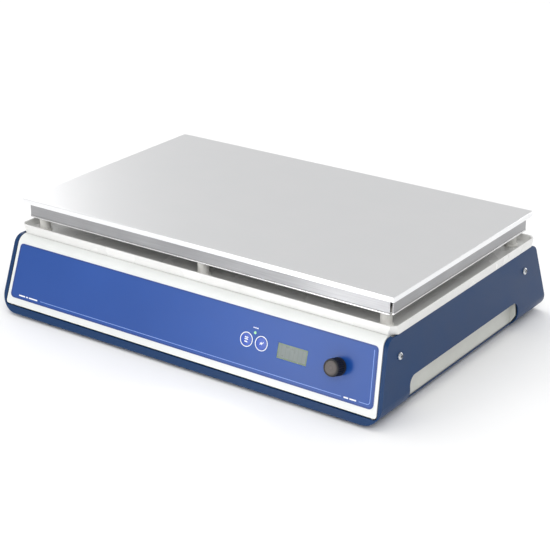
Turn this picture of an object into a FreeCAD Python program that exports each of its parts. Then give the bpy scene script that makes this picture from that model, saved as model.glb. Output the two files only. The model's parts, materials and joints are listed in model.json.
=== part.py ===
"""Large digital laboratory hot plate, as separate sub-parts, in millimetres.

Frame: the origin is on the bench at the middle of the whole footprint, +X to the user's right,
+Y away from the user and +Z up. The sloping front wall carries the controls. The functions draw
every sub-part about the heated plate's centre, which lies PLATE_Y behind the origin.
"""
import FreeCAD, Part
import math
import os

# Heated plate and the shallow pan that closes its underside
PLATE_W = 500.0
PLATE_D = 300.0
PLATE_T = 6.0
PLATE_TOP = 132.0
PLATE_UNDER = PLATE_TOP - PLATE_T
PLATE_Y = 4.6
PAN_INSET = 4.7
PAN_BOTTOM = 109.6
SHEET = 1.2

# Spill tray and the pillars that carry the plate above it
TRAY_W = 506.6
TRAY_D = 304.8
TRAY_CUT_X = 6.6
TRAY_CUT_Y = 10.0
TRAY_BASE = 90.6
TRAY_RIM_H = 10.8
TRAY_RIM_T = 1.8
TRAY_FLOOR_T = 1.5
TRAY_FLOOR = TRAY_BASE + TRAY_FLOOR_T
PILLAR_X = 232.0
PILLAR_Y = 134.0
PILLAR_R = 6.25
PILLAR_BASE_R = 8.0
PILLAR_BASE_H = 1.6
STUD_R = 3.0

# Case: a white sheet folded into front, deck and rear, held in a coloured shell whose sides lean out
FOOT_H = 3.6
CASE_TOP = TRAY_BASE
FRONT_REACH = 186.9
REAR_REACH = 181.0
LEAN = 0.29
LEAN_ANGLE = math.degrees(math.atan(LEAN))
CASE_FILLET = 12.0
WRAP_BOTTOM = 13.0
WRAP_CORNER = 3.0
SHELL_T = 1.5
SHELL_HALF = 260.4
SHELL_TAPER = 0.09
SHELL_TOP = CASE_TOP - 0.3
SHELL_BEND = 20.0
SHELL_PROUD = 0.3
FLANGE = 5.0
STRIP_TOP = 11.4
FRAME_GAP = 1.0
GRIP_FRONT = -127.0
GRIP_REAR = 110.0
GRIP_TOP = 37.5
GRIP_INNER = 249.2
GRIP_CORNER = 11.0
SCREW_Z = 67.4
SCREW_FRONT = -143.5
SCREW_REAR = 127.0
END_WALL = 248.0
END_FOOT = 238.0
END_SHELF = 8.0
LAP_EDGE = -121.0
LAP_T = 0.8

# Control panel, placed by X and by height on the sloping front wall
OVERLAY_T = 0.5
OVERLAY_TOP = 82.6
OVERLAY_BOTTOM = 20.7
OVERLAY_MARGIN = 4.4
OVERLAY_CORNER = 5.0
KEY_X = (86.4, 105.6)
KEY_Z = 52.0
KEY_R = 6.7
KEY_HOLE_R = 7.0
KEY_RING_R = 8.0
KEY_TRAVEL = 0.4
LED_X = 96.0
LED_Z = 61.0
LED_R = 1.5
WINDOW_X = 144.8
WINDOW_Z = 50.7
WINDOW_W = 37.0
WINDOW_H = 16.3
KNOB_X = 201.5
KNOB_Z = 52.6
KNOB_R = 9.6
KNOB_FACE_R = 9.0
KNOB_GAP = 0.8
KNOB_L = 14.6
KNOB_FLUTES = 24
SHAFT_R = 3.0
BUSH_R = 3.5
BOARD_DEPTH = 13.0
BOARD_W = 164.0
BOARD_H = 46.0
BOARD_T = 1.6
BOARD_X = 146.0

# Rear services, placed by X and by height on the sloping rear wall
INLET_X = 170.0
SWITCH_X = 110.0
REAR_Z = 46.0
VENT_X = -60.0
VENT_COUNT = 12
VENT_PITCH = 9.0
ROCK_ANGLE = 15.0
ROCK_DEPTH = -1.0

# Heater
ELEMENT_R = 3.2
ELEMENT_LEGS = 6
ELEMENT_PITCH = 40.0
ELEMENT_NEAR = 52.0
ELEMENT_FAR = 212.0
BAR_T = 3.0
BAR_X = (90.0, 180.0)
BLANKET_T = 3.5
BUSH_Y = 88.0

# Electronics in the case
FLOOR = FOOT_H + SHELL_T
POWER_X = (48.0, 208.0)
POWER_Y = (-20.0, 96.0)
POWER_LIFT = 10.0
FOOT_X = 215.0
FOOT_Y = 150.0
FOOT_R = 12.0


# ---- helpers -------------------------------------------------------------------------------------

def box(x0, x1, y0, y1, z0, z1):
    """A block between two opposite corners."""
    return Part.makeBox(x1 - x0, y1 - y0, z1 - z0, FreeCAD.Vector(x0, y0, z0))


def rod(radius, z0, z1, x=0.0, y=0.0):
    """An upright cylinder."""
    return Part.makeCylinder(radius, z1 - z0, FreeCAD.Vector(x, y, z0))


def bar(radius, start, end):
    """A cylinder between two points."""
    a = FreeCAD.Vector(*start)
    b = FreeCAD.Vector(*end)
    return Part.makeCylinder(radius, (b - a).Length, a, b - a)


def tube(outer, inner, z0, z1, x=0.0, y=0.0):
    """An upright tube."""
    return rod(outer, z0, z1, x, y).cut(rod(inner, z0, z1, x, y))


def slab(width, depth, z0, z1, radius, x=0.0, y=0.0):
    """A plate with rounded plan corners, centred on x, y."""
    block = box(x - width / 2, x + width / 2, y - depth / 2, y + depth / 2, z0, z1)
    return block.makeFillet(radius, upright_edges(block))


def cut_corner_slab(width, depth, z0, z1, inset):
    """A plate whose four plan corners are cut off straight, all its sides moved in by inset."""
    half_w = width / 2
    half_d = depth / 2
    quarter = [(half_w, half_d - TRAY_CUT_Y), (half_w - TRAY_CUT_X, half_d)]
    outline = quarter + [(-x, y) for x, y in reversed(quarter)]
    outline += [(-x, -y) for x, y in outline]
    points = [FreeCAD.Vector(x, y, z0) for x, y in outline]
    face = Part.Face(Part.makePolygon(points + points[:1]))
    if inset:
        face = face.makeOffset2D(-inset, 2)
    return face.extrude(FreeCAD.Vector(0, 0, z1 - z0))


def upright_edges(shape):
    """Straight edges that run along Z."""
    return [e for e in shape.Edges if runs_along(e, FreeCAD.Vector(0, 0, 1))]


def runs_along(edge, direction):
    """True for a straight edge parallel to a direction."""
    if not isinstance(edge.Curve, Part.Line):
        return False
    run = edge.Vertexes[-1].Point - edge.Vertexes[0].Point
    return abs(abs(run.dot(direction)) - run.Length) < 1e-6


def hexagon(across_flats, z0, z1, x=0.0, y=0.0):
    """An upright hexagonal prism."""
    radius = across_flats / math.sqrt(3)
    turns = [math.radians(60 * i) for i in range(7)]
    points = [FreeCAD.Vector(x + radius * math.cos(t), y + radius * math.sin(t), z0) for t in turns]
    return Part.Face(Part.makePolygon(points)).extrude(FreeCAD.Vector(0, 0, z1 - z0))


def fuse(shapes):
    """One solid from overlapping solids."""
    body = shapes[0]
    for extra in shapes[1:]:
        body = body.fuse(extra)
    return body.removeSplitter()


def cut_all(shape, cutters):
    """The shape with every cutter taken out."""
    for cutter in cutters:
        shape = shape.cut(cutter)
    return shape


def group(solids):
    """Separate solids that share one file."""
    return Part.Compound(solids)


def mirror_x(shape):
    """The other hand of a shape, across the centre plane."""
    return shape.mirror(FreeCAD.Vector(0, 0, 0), FreeCAD.Vector(1, 0, 0))


# ---- the case's sloping planes -------------------------------------------------------------------

def front_y(z, inset=0.0):
    """Y of the front wall's outer face at a height, moved inwards by inset."""
    return -FRONT_REACH + LEAN * (z - FOOT_H) + inset / math.cos(math.radians(LEAN_ANGLE))


def rear_y(z, inset=0.0):
    """Y of the rear wall's outer face at a height, moved inwards by inset."""
    return REAR_REACH - LEAN * (z - FOOT_H) - inset / math.cos(math.radians(LEAN_ANGLE))


def shell_x(z):
    """X of the shell's outer right side at a height."""
    return SHELL_HALF - SHELL_TAPER * (z - FOOT_H)


def wrap_x(z):
    """X of the white wrap's right edge at a height."""
    return shell_x(z) - FLANGE - FRAME_GAP


def frame_at(origin, across, up, out):
    """Placement whose local X, Y and Z are the given directions."""
    matrix = FreeCAD.Matrix(across[0], up[0], out[0], origin[0],
                            across[1], up[1], out[1], origin[1],
                            across[2], up[2], out[2], origin[2])
    return FreeCAD.Placement(matrix)


def placed(shape, place):
    """A copy of a shape moved into a local frame."""
    copy = shape.copy()
    copy.Placement = place.multiply(copy.Placement)
    return copy


def on_front(shape, x, z):
    """Puts a shape drawn in XY, facing +Z, on the front wall's outer face."""
    s = math.sin(math.radians(LEAN_ANGLE))
    c = math.cos(math.radians(LEAN_ANGLE))
    place = frame_at((x, front_y(z), z), (1, 0, 0), (0, s, c), (0, -c, s))
    return placed(shape, place)


def on_rear(shape, x, z):
    """Puts a shape drawn in XY, facing +Z, on the rear wall's outer face."""
    s = math.sin(math.radians(LEAN_ANGLE))
    c = math.cos(math.radians(LEAN_ANGLE))
    place = frame_at((x, rear_y(z), z), (-1, 0, 0), (0, -s, c), (0, c, s))
    return placed(shape, place)


def on_side(shape, y, z):
    """Puts a shape drawn in XY, facing +Z, on the shell's outer right side."""
    tilt = math.atan(SHELL_TAPER)
    s = math.sin(tilt)
    c = math.cos(tilt)
    place = frame_at((shell_x(z), y, z), (0, 1, 0), (-s, 0, c), (c, 0, s))
    return placed(shape, place)


def case_prism(inset, z_low, z_high, top_fillet, bottom_fillet=0.0, span=300.0):
    """The case's side view as a long prism, its walls moved in by inset."""
    outline = [(front_y(z_low, inset), z_low), (front_y(z_high, inset), z_high),
               (rear_y(z_high, inset), z_high), (rear_y(z_low, inset), z_low)]
    points = [FreeCAD.Vector(-span, y, z) for y, z in outline]
    prism = Part.Face(Part.makePolygon(points + points[:1])).extrude(FreeCAD.Vector(2 * span, 0, 0))
    for level, radius in ((z_high, top_fillet), (z_low, bottom_fillet)):
        if radius:
            along = [e for e in prism.Edges
                     if runs_along(e, FreeCAD.Vector(1, 0, 0)) and abs(e.CenterOfMass.z - level) < 0.01]
            prism = prism.makeFillet(radius, along)
    return prism


def width_prism(margin, z_low, z_high, bottom_radius):
    """The case's front view as a long prism, margin inside the shell's leaning sides."""
    outline = [(shell_x(z_low) - margin, z_low), (shell_x(z_high) - margin, z_high),
               (margin - shell_x(z_high), z_high), (margin - shell_x(z_low), z_low)]
    points = [FreeCAD.Vector(x, -220.0, z) for x, z in outline]
    prism = Part.Face(Part.makePolygon(points + points[:1])).extrude(FreeCAD.Vector(0, 440.0, 0))
    lower = [e for e in prism.Edges
             if runs_along(e, FreeCAD.Vector(0, 1, 0)) and abs(e.CenterOfMass.z - z_low) < 0.01]
    return prism.makeFillet(bottom_radius, lower)


def pillar_spots():
    """Plan positions of the six pillars."""
    return [(x, y) for y in (-PILLAR_Y, PILLAR_Y) for x in (-PILLAR_X, 0.0, PILLAR_X)]


def foot_spots():
    """Plan positions of the four feet."""
    return [(x, y) for x in (-FOOT_X, FOOT_X) for y in (-FOOT_Y, FOOT_Y)]


def power_board_spots():
    """Plan positions of the power board's four standoffs."""
    margin = 7.0
    return [(x, y) for x in (POWER_X[0] + margin, POWER_X[1] - margin)
            for y in (POWER_Y[0] + margin, POWER_Y[1] - margin)]


def control_board_spots():
    """Positions across and along the control board of its four standoffs."""
    return [(x, y) for x in (-BOARD_W / 2 + 5, BOARD_W / 2 - 5) for y in (-BOARD_H / 2 + 5, BOARD_H / 2 - 5)]


# ---- heated plate --------------------------------------------------------------------------------

def top_plate():
    """Flat plate with eased edges and blind holes underneath for its studs and clamp screws."""
    plate = slab(PLATE_W, PLATE_D, PLATE_UNDER, PLATE_TOP, 1.5)
    rim = [e for e in plate.Edges if abs(e.CenterOfMass.z - PLATE_TOP) < 0.01]
    plate = plate.makeFillet(0.6, rim)
    holes = [rod(STUD_R, PLATE_UNDER, PLATE_UNDER + 4.0, x, y) for x, y in pillar_spots()]
    holes += [rod(2.0, PLATE_UNDER, PLATE_UNDER + 4.0, x, y) for x, y in clamp_spots()]
    return cut_all(plate, holes)


def heater_pan():
    """Folded pan under the plate: four walls with a slit at each corner and a small hem below."""
    half_w = PLATE_W / 2 - PAN_INSET
    half_d = PLATE_D / 2 - PAN_INSET
    slit = 1.6
    hem = 1.0
    walls = []
    for side in (-1, 1):
        y = side * (half_d - SHEET / 2)
        walls.append(box(-half_w + slit, half_w - slit, y - SHEET / 2, y + SHEET / 2, PAN_BOTTOM, PLATE_UNDER))
        x = side * (half_w - SHEET / 2)
        walls.append(box(x - SHEET / 2, x + SHEET / 2, -half_d + slit, half_d - slit, PAN_BOTTOM, PLATE_UNDER))
        y = side * (half_d + hem / 2 - 0.1)
        walls.append(box(-half_w + slit, half_w - slit, y - hem / 2, y + hem / 2, PAN_BOTTOM, PAN_BOTTOM + 1.8))
        x = side * (half_w + hem / 2 - 0.1)
        walls.append(box(x - hem / 2, x + hem / 2, -half_d + slit, half_d - slit, PAN_BOTTOM, PAN_BOTTOM + 1.8))
    floor = box(-half_w + slit, half_w - slit, -half_d + SHEET / 2, half_d - SHEET / 2,
                PAN_BOTTOM, PAN_BOTTOM + SHEET)
    ends = box(-half_w + SHEET / 2, half_w - SHEET / 2, -half_d + slit, half_d - slit,
               PAN_BOTTOM, PAN_BOTTOM + SHEET)
    pan = fuse([floor, ends] + walls)
    holes = [rod(STUD_R + 0.2, PAN_BOTTOM - 1, PAN_BOTTOM + 3, x, y) for x, y in pillar_spots()]
    holes.append(rod(8.0, PAN_BOTTOM - 1, PAN_BOTTOM + 3, 0, BUSH_Y))
    return cut_all(pan, holes)


def insulation_blanket():
    """Ceramic-fibre blanket on the pan's floor."""
    z = PAN_BOTTOM + SHEET
    blanket = slab(PLATE_W - 2 * PAN_INSET - 8, PLATE_D - 2 * PAN_INSET - 8, z, z + BLANKET_T, 4.0)
    holes = [rod(PILLAR_R + 0.3, z - 1, z + BLANKET_T + 1, x, y) for x, y in pillar_spots()]
    holes.append(rod(8.3, z - 1, z + BLANKET_T + 1, 0, BUSH_Y))
    return cut_all(blanket, holes)


def element_leg_y():
    """Y of each straight leg of a heating element."""
    return [ELEMENT_PITCH * (i - (ELEMENT_LEGS - 1) / 2) for i in range(ELEMENT_LEGS)]


def heating_element():
    """Right-hand sheathed element, bent to and fro under the plate."""
    z = PLATE_UNDER - ELEMENT_R
    turn = ELEMENT_PITCH / 2
    legs = element_leg_y()
    pieces = []
    for i, y in enumerate(legs):
        near = ELEMENT_NEAR - turn if i in (0, len(legs) - 1) else ELEMENT_NEAR
        pieces.append(bar(ELEMENT_R, (near, y, z), (ELEMENT_FAR, y, z)))
    for i in range(len(legs) - 1):
        far_end = i % 2 == 0
        centre = FreeCAD.Vector(ELEMENT_FAR if far_end else ELEMENT_NEAR, (legs[i] + legs[i + 1]) / 2, z)
        bend = Part.makeTorus(turn, ELEMENT_R, centre, FreeCAD.Vector(0, 0, 1), 0, 360, 180)
        bend.rotate(centre, FreeCAD.Vector(0, 0, 1), -90 if far_end else 90)
        pieces.append(bend)
    pins = [bar(1.5, (ELEMENT_NEAR - turn - 9, y, z), (ELEMENT_NEAR - turn, y, z)) for y in (legs[0], legs[-1])]
    return fuse(pieces + pins)


def clamp_spots():
    """Plan positions of the clamp bars' screws."""
    y = ELEMENT_PITCH
    return [(s * x, row) for s in (-1, 1) for x in BAR_X for row in (-2 * y, 0.0, 2 * y)]


def element_clamps():
    """Four flat bars that press the elements against the plate."""
    top = PLATE_UNDER - 2 * ELEMENT_R
    bars = []
    for s in (-1, 1):
        for x in BAR_X:
            strip = slab(14.0, 232.0, top - BAR_T, top, 2.0, s * x, 0.0)
            holes = [rod(2.2, top - BAR_T - 1, top + 1, px, py) for px, py in clamp_spots() if px == s * x]
            bars.append(cut_all(strip, holes))
    return group(bars)


def clamp_screws():
    """Screws that hold the clamp bars, with low heads below the bars."""
    head_top = PLATE_UNDER - 2 * ELEMENT_R - BAR_T
    return group([fuse([rod(2.0, head_top, PLATE_UNDER + 4.0, x, y), rod(3.6, head_top - 1.8, head_top, x, y)])
                  for x, y in clamp_spots()])


def plate_sensor():
    """Sheathed temperature probe held against the plate's underside."""
    z = PLATE_UNDER - 2.5
    return fuse([bar(2.5, (-14, 0, z), (14, 0, z)), bar(1.2, (14, 0, z), (20, 0, z))])


def sensor_clip():
    """Saddle over the probe with two feet against the plate."""
    z = PLATE_UNDER
    saddle = box(-5, 5, -9, 9, z - 6.2, z).cut(box(-6, 6, -2.6, 2.6, z - 5.1, z + 1))
    return saddle.cut(box(-6, 6, -12, -6, z - 7, z - 2)).cut(box(-6, 6, 6, 12, z - 7, z - 2))


def overheat_cutout():
    """Disc-shaped safety thermostat with two blade terminals."""
    z = PLATE_UNDER
    body = fuse([rod(8.0, z - 5.5, z, 0, 48), rod(6.0, z - 8.5, z - 5.5, 0, 48)])
    blades = [box(x - 0.4, x + 0.4, 45.5, 50.5, z - 11.0, z - 8.4) for x in (-3.5, 3.5)]
    return fuse([body] + blades)


def support_pillar(x, y):
    """One hollow white pillar with a wider base, between the spill tray and the heater pan."""
    pillar = fuse([rod(PILLAR_R, TRAY_FLOOR, PAN_BOTTOM, x, y),
                   rod(PILLAR_BASE_R, TRAY_FLOOR, TRAY_FLOOR + PILLAR_BASE_H, x, y)])
    rims = [e for e in pillar.Edges if isinstance(e.Curve, Part.Circle)]
    return pillar.makeFillet(0.5, rims).cut(rod(STUD_R + 0.2, TRAY_FLOOR - 1, PAN_BOTTOM + 1, x, y))


def spacer_sleeves():
    """Short sleeves round the studs inside the pan, from its floor to the plate."""
    z = PAN_BOTTOM + SHEET
    return group([tube(5.0, STUD_R + 0.2, z, PLATE_UNDER, x, y) for x, y in pillar_spots()])


def plate_studs():
    """Six studs from the plate down through pillars, tray and deck."""
    return group([rod(STUD_R, CASE_TOP - 11.0, PLATE_UNDER + 4.0, x, y) for x, y in pillar_spots()])


def stud_nuts():
    """Washers and hexagon nuts under the deck that pull the plate down on its pillars."""
    top = CASE_TOP - SHEET
    z = top - 1.2
    washers = [tube(6.0, STUD_R + 0.2, z, top, x, y) for x, y in pillar_spots()]
    nuts = [hexagon(10.0, z - 5.0, z, x, y).cut(rod(STUD_R, z - 6, z + 1, x, y)) for x, y in pillar_spots()]
    return group(washers + nuts)


# ---- spill tray and case -------------------------------------------------------------------------

def spill_tray():
    """Shallow tray with cut-off corners and an upright rim, on top of the case."""
    outer = cut_corner_slab(TRAY_W, TRAY_D, TRAY_BASE, TRAY_BASE + TRAY_RIM_H, 0.0)
    hollow = cut_corner_slab(TRAY_W, TRAY_D, TRAY_FLOOR, TRAY_BASE + TRAY_RIM_H + 1, TRAY_RIM_T)
    tray = outer.cut(hollow)
    rim = [e for e in tray.Edges if abs(e.CenterOfMass.z - TRAY_BASE - TRAY_RIM_H) < 0.01]
    tray = tray.makeFillet(0.7, rim)
    holes = [rod(STUD_R + 0.2, TRAY_BASE - 1, TRAY_FLOOR + 1, x, y) for x, y in pillar_spots()]
    holes.append(rod(8.0, TRAY_BASE - 1, TRAY_FLOOR + 1, 0, BUSH_Y))
    return cut_all(tray, holes)


def lead_bush():
    """Ceramic bush that takes the heater's wires through pan, tray and deck."""
    z_low = CASE_TOP - SHEET - 8.0
    z_high = PAN_BOTTOM + SHEET + BLANKET_T
    bush = fuse([rod(7.9, z_low, z_high, 0, BUSH_Y),
                 rod(11.0, CASE_TOP - SHEET - 3.5, CASE_TOP - SHEET, 0, BUSH_Y)])
    return bush.cut(rod(5.0, z_low - 1, z_high + 1, 0, BUSH_Y))


def front_openings():
    """Cutters through the front wall: keys, lamp, window and encoder bush."""
    cuts = [on_front(rod(KEY_HOLE_R, -5, 5), x, KEY_Z) for x in KEY_X]
    cuts.append(on_front(rod(LED_R + 0.1, -5, 5), LED_X, LED_Z))
    cuts.append(on_front(box(-WINDOW_W / 2, WINDOW_W / 2, -WINDOW_H / 2, WINDOW_H / 2, -5, 5), WINDOW_X, WINDOW_Z))
    cuts.append(on_front(rod(BUSH_R + 0.1, -5, 5), KNOB_X, KNOB_Z))
    return cuts


def rear_openings():
    """Cutters through the rear wall: inlet, switch, earth stud and vent slots."""
    cuts = [on_rear(box(-13.6, 13.6, -17.1, 17.1, -5, 5), INLET_X, REAR_Z),
            on_rear(box(-6.6, 6.6, -9.6, 9.6, -5, 5), SWITCH_X, REAR_Z),
            on_rear(rod(2.1, -5, 5), SWITCH_X - 28, REAR_Z)]
    for i in range(VENT_COUNT):
        x = VENT_X + VENT_PITCH * (i - (VENT_COUNT - 1) / 2)
        slot = box(-1.6, 1.6, -15, 15, -5, 5)
        cuts.append(on_rear(slot.makeFillet(1.5, upright_edges(slot)), x, REAR_Z))
    return cuts


def chassis_wrap():
    """Folded sheet that makes the sloping front, the deck and the sloping rear of the case."""
    outer = case_prism(0.0, WRAP_BOTTOM, CASE_TOP, CASE_FILLET)
    inner = case_prism(SHEET, WRAP_BOTTOM - 1, CASE_TOP - SHEET, CASE_FILLET - SHEET)
    wrap = outer.cut(inner).common(width_prism(FLANGE + FRAME_GAP, WRAP_BOTTOM, 100.0, WRAP_CORNER))
    holes = [rod(STUD_R + 0.2, CASE_TOP - 5, CASE_TOP + 1, x, y) for x, y in pillar_spots()]
    holes.append(rod(8.0, CASE_TOP - 5, CASE_TOP + 1, 0, BUSH_Y))
    return cut_all(wrap, holes + front_openings() + rear_openings())


def base_shell():
    """Coloured shell folded from one sheet: floor, rounded lower corners, leaning sides with open
    hand-hold notches, and a narrow flange that frames the front and the rear."""
    outer = width_prism(0.0, FOOT_H, SHELL_TOP, SHELL_BEND)
    inner = width_prism(SHELL_T, FLOOR, 120.0, SHELL_BEND - SHELL_T)
    side_view = case_prism(-SHELL_PROUD, 0.0, SHELL_TOP, CASE_FILLET)
    behind_flanges = case_prism(SHELL_T - SHELL_PROUD, -10.0, SHELL_TOP, CASE_FILLET)
    window = width_prism(FLANGE, STRIP_TOP, 120.0, WRAP_CORNER + FRAME_GAP)
    frame = outer.common(side_view).cut(behind_flanges).cut(window)
    skin = outer.cut(inner).common(side_view)
    shell = skin.fuse(frame).removeSplitter()
    grip = box(GRIP_INNER, 280, GRIP_FRONT, GRIP_REAR, -5.0, GRIP_TOP)
    grip = grip.makeFillet(GRIP_CORNER, [e for e in grip.Edges if runs_along(e, FreeCAD.Vector(1, 0, 0))
                                         and e.CenterOfMass.z > GRIP_TOP - 0.01])
    holes = [rod(2.2, FOOT_H - 1, FLOOR + 1, x, y)
             for x, y in foot_spots() + power_board_spots() + base_screw_spots()]
    sides = [grip] + [on_side(rod(2.1, -8, 5), y, SCREW_Z) for y in (SCREW_FRONT, SCREW_REAR)]
    return cut_all(shell, sides + [mirror_x(cut) for cut in sides] + holes + floor_vents())


def floor_vents():
    """Rows of slots in the floor, under the left half of the case."""
    cuts = []
    for row in (-60.0, 20.0):
        for i in range(VENT_COUNT):
            x = -130.0 + VENT_PITCH * (i - (VENT_COUNT - 1) / 2)
            slot = slab(3.2, 40.0, FOOT_H - 1, FLOOR + 1, 1.5, x, row)
            cuts.append(slot)
    return cuts


def base_screw_spots():
    """Plan positions of the screws that hold the end walls to the floor."""
    return [(s * (END_FOOT - 7), y) for s in (-1, 1) for y in (-100.0, 0.0, 100.0)]


def end_wall():
    """Right inner end wall of the case: a foot on the floor, a step over the shell's bend and a wall,
    doubled at the front by a lap whose edge shows in the hand-hold notch."""
    top = CASE_TOP - SHEET
    outline = case_prism(2 * SHEET + 0.2, FLOOR, top, CASE_FILLET - SHEET)
    strips = [box(END_WALL - SHEET, END_WALL, -200, 200, END_SHELF, top),
              box(END_FOOT - SHEET, END_WALL, -200, 200, END_SHELF, END_SHELF + SHEET),
              box(END_FOOT - SHEET, END_FOOT, -200, 200, FLOOR, END_SHELF + SHEET),
              box(END_FOOT - 14, END_FOOT, -200, 200, FLOOR, FLOOR + SHEET),
              box(END_WALL - 8, END_WALL, -120, 120, top - SHEET, top),
              box(END_WALL, END_WALL + LAP_T, -200, LAP_EDGE, END_SHELF + 1.0, SCREW_Z - 8)]
    wall = fuse(strips).common(outline)
    bosses = [bar(5.5, (END_WALL - 0.5, y, SCREW_Z), (shell_x(SCREW_Z) - SHELL_T - 0.6, y, SCREW_Z))
              for y in (SCREW_FRONT, SCREW_REAR)]
    holes = [rod(2.2, FLOOR - 1, FLOOR + 3, x, y) for x, y in base_screw_spots()]
    holes += [on_side(rod(2.0, -20, 5), y, SCREW_Z) for y in (SCREW_FRONT, SCREW_REAR)]
    holes += [rod(6.3, CASE_TOP - 3, CASE_TOP, x, y) for x, y in pillar_spots()]
    return cut_all(fuse([wall] + bosses), holes)


def pan_head_screw(length):
    """Cross-recessed pan-head screw, its head standing on the XY plane."""
    head = rod(4.0, 0.0, 2.6)
    head = head.makeFillet(1.3, [e for e in head.Edges if abs(e.CenterOfMass.z - 2.6) < 0.01])
    shank = rod(2.0, -length, 0.5)
    cross = [box(-2.2, 2.2, -0.5, 0.5, 1.2, 3.0), box(-0.5, 0.5, -2.2, 2.2, 1.2, 3.0)]
    return cut_all(fuse([head, shank]), cross)


def side_screws():
    """The two screws through the shell's right side."""
    return group([on_side(pan_head_screw(9.0), y, SCREW_Z) for y in (SCREW_FRONT, SCREW_REAR)])


def base_screws():
    """Screws up through the floor into the end walls' flanges."""
    screws = []
    for x, y in base_screw_spots():
        screw = pan_head_screw(6.0)
        screw.rotate(FreeCAD.Vector(0, 0, 0), FreeCAD.Vector(1, 0, 0), 180)
        screw.translate(FreeCAD.Vector(x, y, FOOT_H))
        screws.append(screw)
    return group(screws)


def rubber_foot(x, y):
    """Low round foot with a recess for its screw."""
    foot = Part.makeCone(FOOT_R - 1.0, FOOT_R, FOOT_H, FreeCAD.Vector(x, y, 0))
    return foot.cut(rod(4.3, -1, 2.0, x, y)).cut(rod(2.1, -1, FOOT_H + 1, x, y))


def foot_screws():
    """Screws up through the feet into the floor, with their nuts inside."""
    fixings = []
    for x, y in foot_spots():
        fixings.append(fuse([rod(3.8, 0.6, 2.0, x, y), rod(2.0, 1.0, FLOOR + 5.0, x, y)]))
        fixings.append(hexagon(7.0, FLOOR, FLOOR + 3.2, x, y).cut(rod(2.0, FLOOR - 1, FLOOR + 4, x, y)))
    return group(fixings)


# ---- control panel -------------------------------------------------------------------------------

def front_overlay():
    """Thin coloured overlay on the front wall, its ends following the case's leaning sides."""
    z_mid = (OVERLAY_TOP + OVERLAY_BOTTOM) / 2
    rise = (OVERLAY_TOP - OVERLAY_BOTTOM) / 2 / math.cos(math.radians(LEAN_ANGLE))
    top = wrap_x(OVERLAY_TOP) - OVERLAY_MARGIN
    bottom = wrap_x(OVERLAY_BOTTOM) - OVERLAY_MARGIN
    points = [FreeCAD.Vector(x, y, 0) for x, y in ((-bottom, -rise), (bottom, -rise), (top, rise), (-top, rise))]
    sheet = Part.Face(Part.makePolygon(points + points[:1])).extrude(FreeCAD.Vector(0, 0, OVERLAY_T))
    sheet = sheet.makeFillet(OVERLAY_CORNER, upright_edges(sheet))
    return cut_all(on_front(sheet, 0.0, z_mid), front_openings())


def key_rings():
    """Raised rings round the two keys."""
    return group([on_front(tube(KEY_RING_R, KEY_HOLE_R + 0.1, OVERLAY_T, OVERLAY_T + 0.25), x, KEY_Z)
                  for x in KEY_X])


def touch_key(x):
    """Round key cap with a stem that reaches its switch."""
    cap = rod(KEY_R, -0.9, OVERLAY_T + 0.35)
    cap = cap.makeFillet(0.3, [e for e in cap.Edges if e.CenterOfMass.z > 0.5])
    return on_front(fuse([cap, rod(2.2, -5.8, -0.8)]), x, KEY_Z)


def key_switches():
    """Two short-travel switches on the control board behind the keys."""
    return group([on_front(box(-3.1, 3.1, -3.1, 3.1, -BOARD_DEPTH, -5.8 - KEY_TRAVEL - 0.2), x, KEY_Z)
                  for x in KEY_X])


def status_lamp():
    """Small light guide between the keys, from the overlay back to the board."""
    guide = fuse([rod(LED_R, -BOARD_DEPTH, OVERLAY_T + 0.1), rod(2.4, -SHEET - 2.0, -SHEET)])
    return on_front(guide, LED_X, LED_Z)


def display_window():
    """Clear window set flush in the overlay."""
    lens = box(-WINDOW_W / 2 + 0.1, WINDOW_W / 2 - 0.1, -WINDOW_H / 2 + 0.1, WINDOW_H / 2 - 0.1, -SHEET, OVERLAY_T)
    return on_front(lens, WINDOW_X, WINDOW_Z)


def display_module():
    """Liquid-crystal module with its backlight, behind the window."""
    module = box(-WINDOW_W / 2 - 4, WINDOW_W / 2 + 4, -WINDOW_H / 2 - 3, WINDOW_H / 2 + 3, -7.0, -SHEET)
    pins = [box(-20 + 2.5 * i, -19.5 + 2.5 * i, -9.5, -9.0, -BOARD_DEPTH, -7.0) for i in range(17)]
    return on_front(fuse([module] + pins), WINDOW_X, WINDOW_Z)


def control_board():
    """Circuit board parallel to the front wall."""
    board = box(-BOARD_W / 2, BOARD_W / 2, -BOARD_H / 2, BOARD_H / 2, -BOARD_DEPTH - BOARD_T, -BOARD_DEPTH)
    board = cut_all(board, [rod(1.6, -BOARD_DEPTH - 3, 0, x, y) for x, y in control_board_spots()])
    chips = [box(-40, -28, -6, 6, -BOARD_DEPTH - BOARD_T - 2.0, -BOARD_DEPTH - BOARD_T),
             box(-10, 0, 8, 16, -BOARD_DEPTH - BOARD_T - 1.6, -BOARD_DEPTH - BOARD_T),
             box(14, 34, -18, -12, -BOARD_DEPTH - BOARD_T - 8.0, -BOARD_DEPTH - BOARD_T)]
    return on_front(fuse([board] + chips), BOARD_X, KEY_Z)


def control_standoffs():
    """Four pillars that carry the control board off the front wall."""
    posts = [tube(3.0, 1.5, -BOARD_DEPTH, -SHEET, x, y) for x, y in control_board_spots()]
    return group([on_front(post, BOARD_X, KEY_Z) for post in posts])


def encoder_body():
    """Rotary encoder on the board, its bush passing through the front wall."""
    case = box(-6.5, 6.5, -6.5, 6.5, -BOARD_DEPTH, -SHEET - 0.5)
    bush = rod(BUSH_R, -SHEET - 1, 6.5)
    return on_front(fuse([case, bush]).cut(rod(SHAFT_R + 0.05, -BOARD_DEPTH + 2, 8)), KNOB_X, KNOB_Z)


def encoder_nut():
    """Nut on the encoder's bush, hidden inside the knob."""
    nut = hexagon(10.0, OVERLAY_T, OVERLAY_T + 2.0).cut(rod(BUSH_R, 0, 4))
    return on_front(nut, KNOB_X, KNOB_Z)


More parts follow.
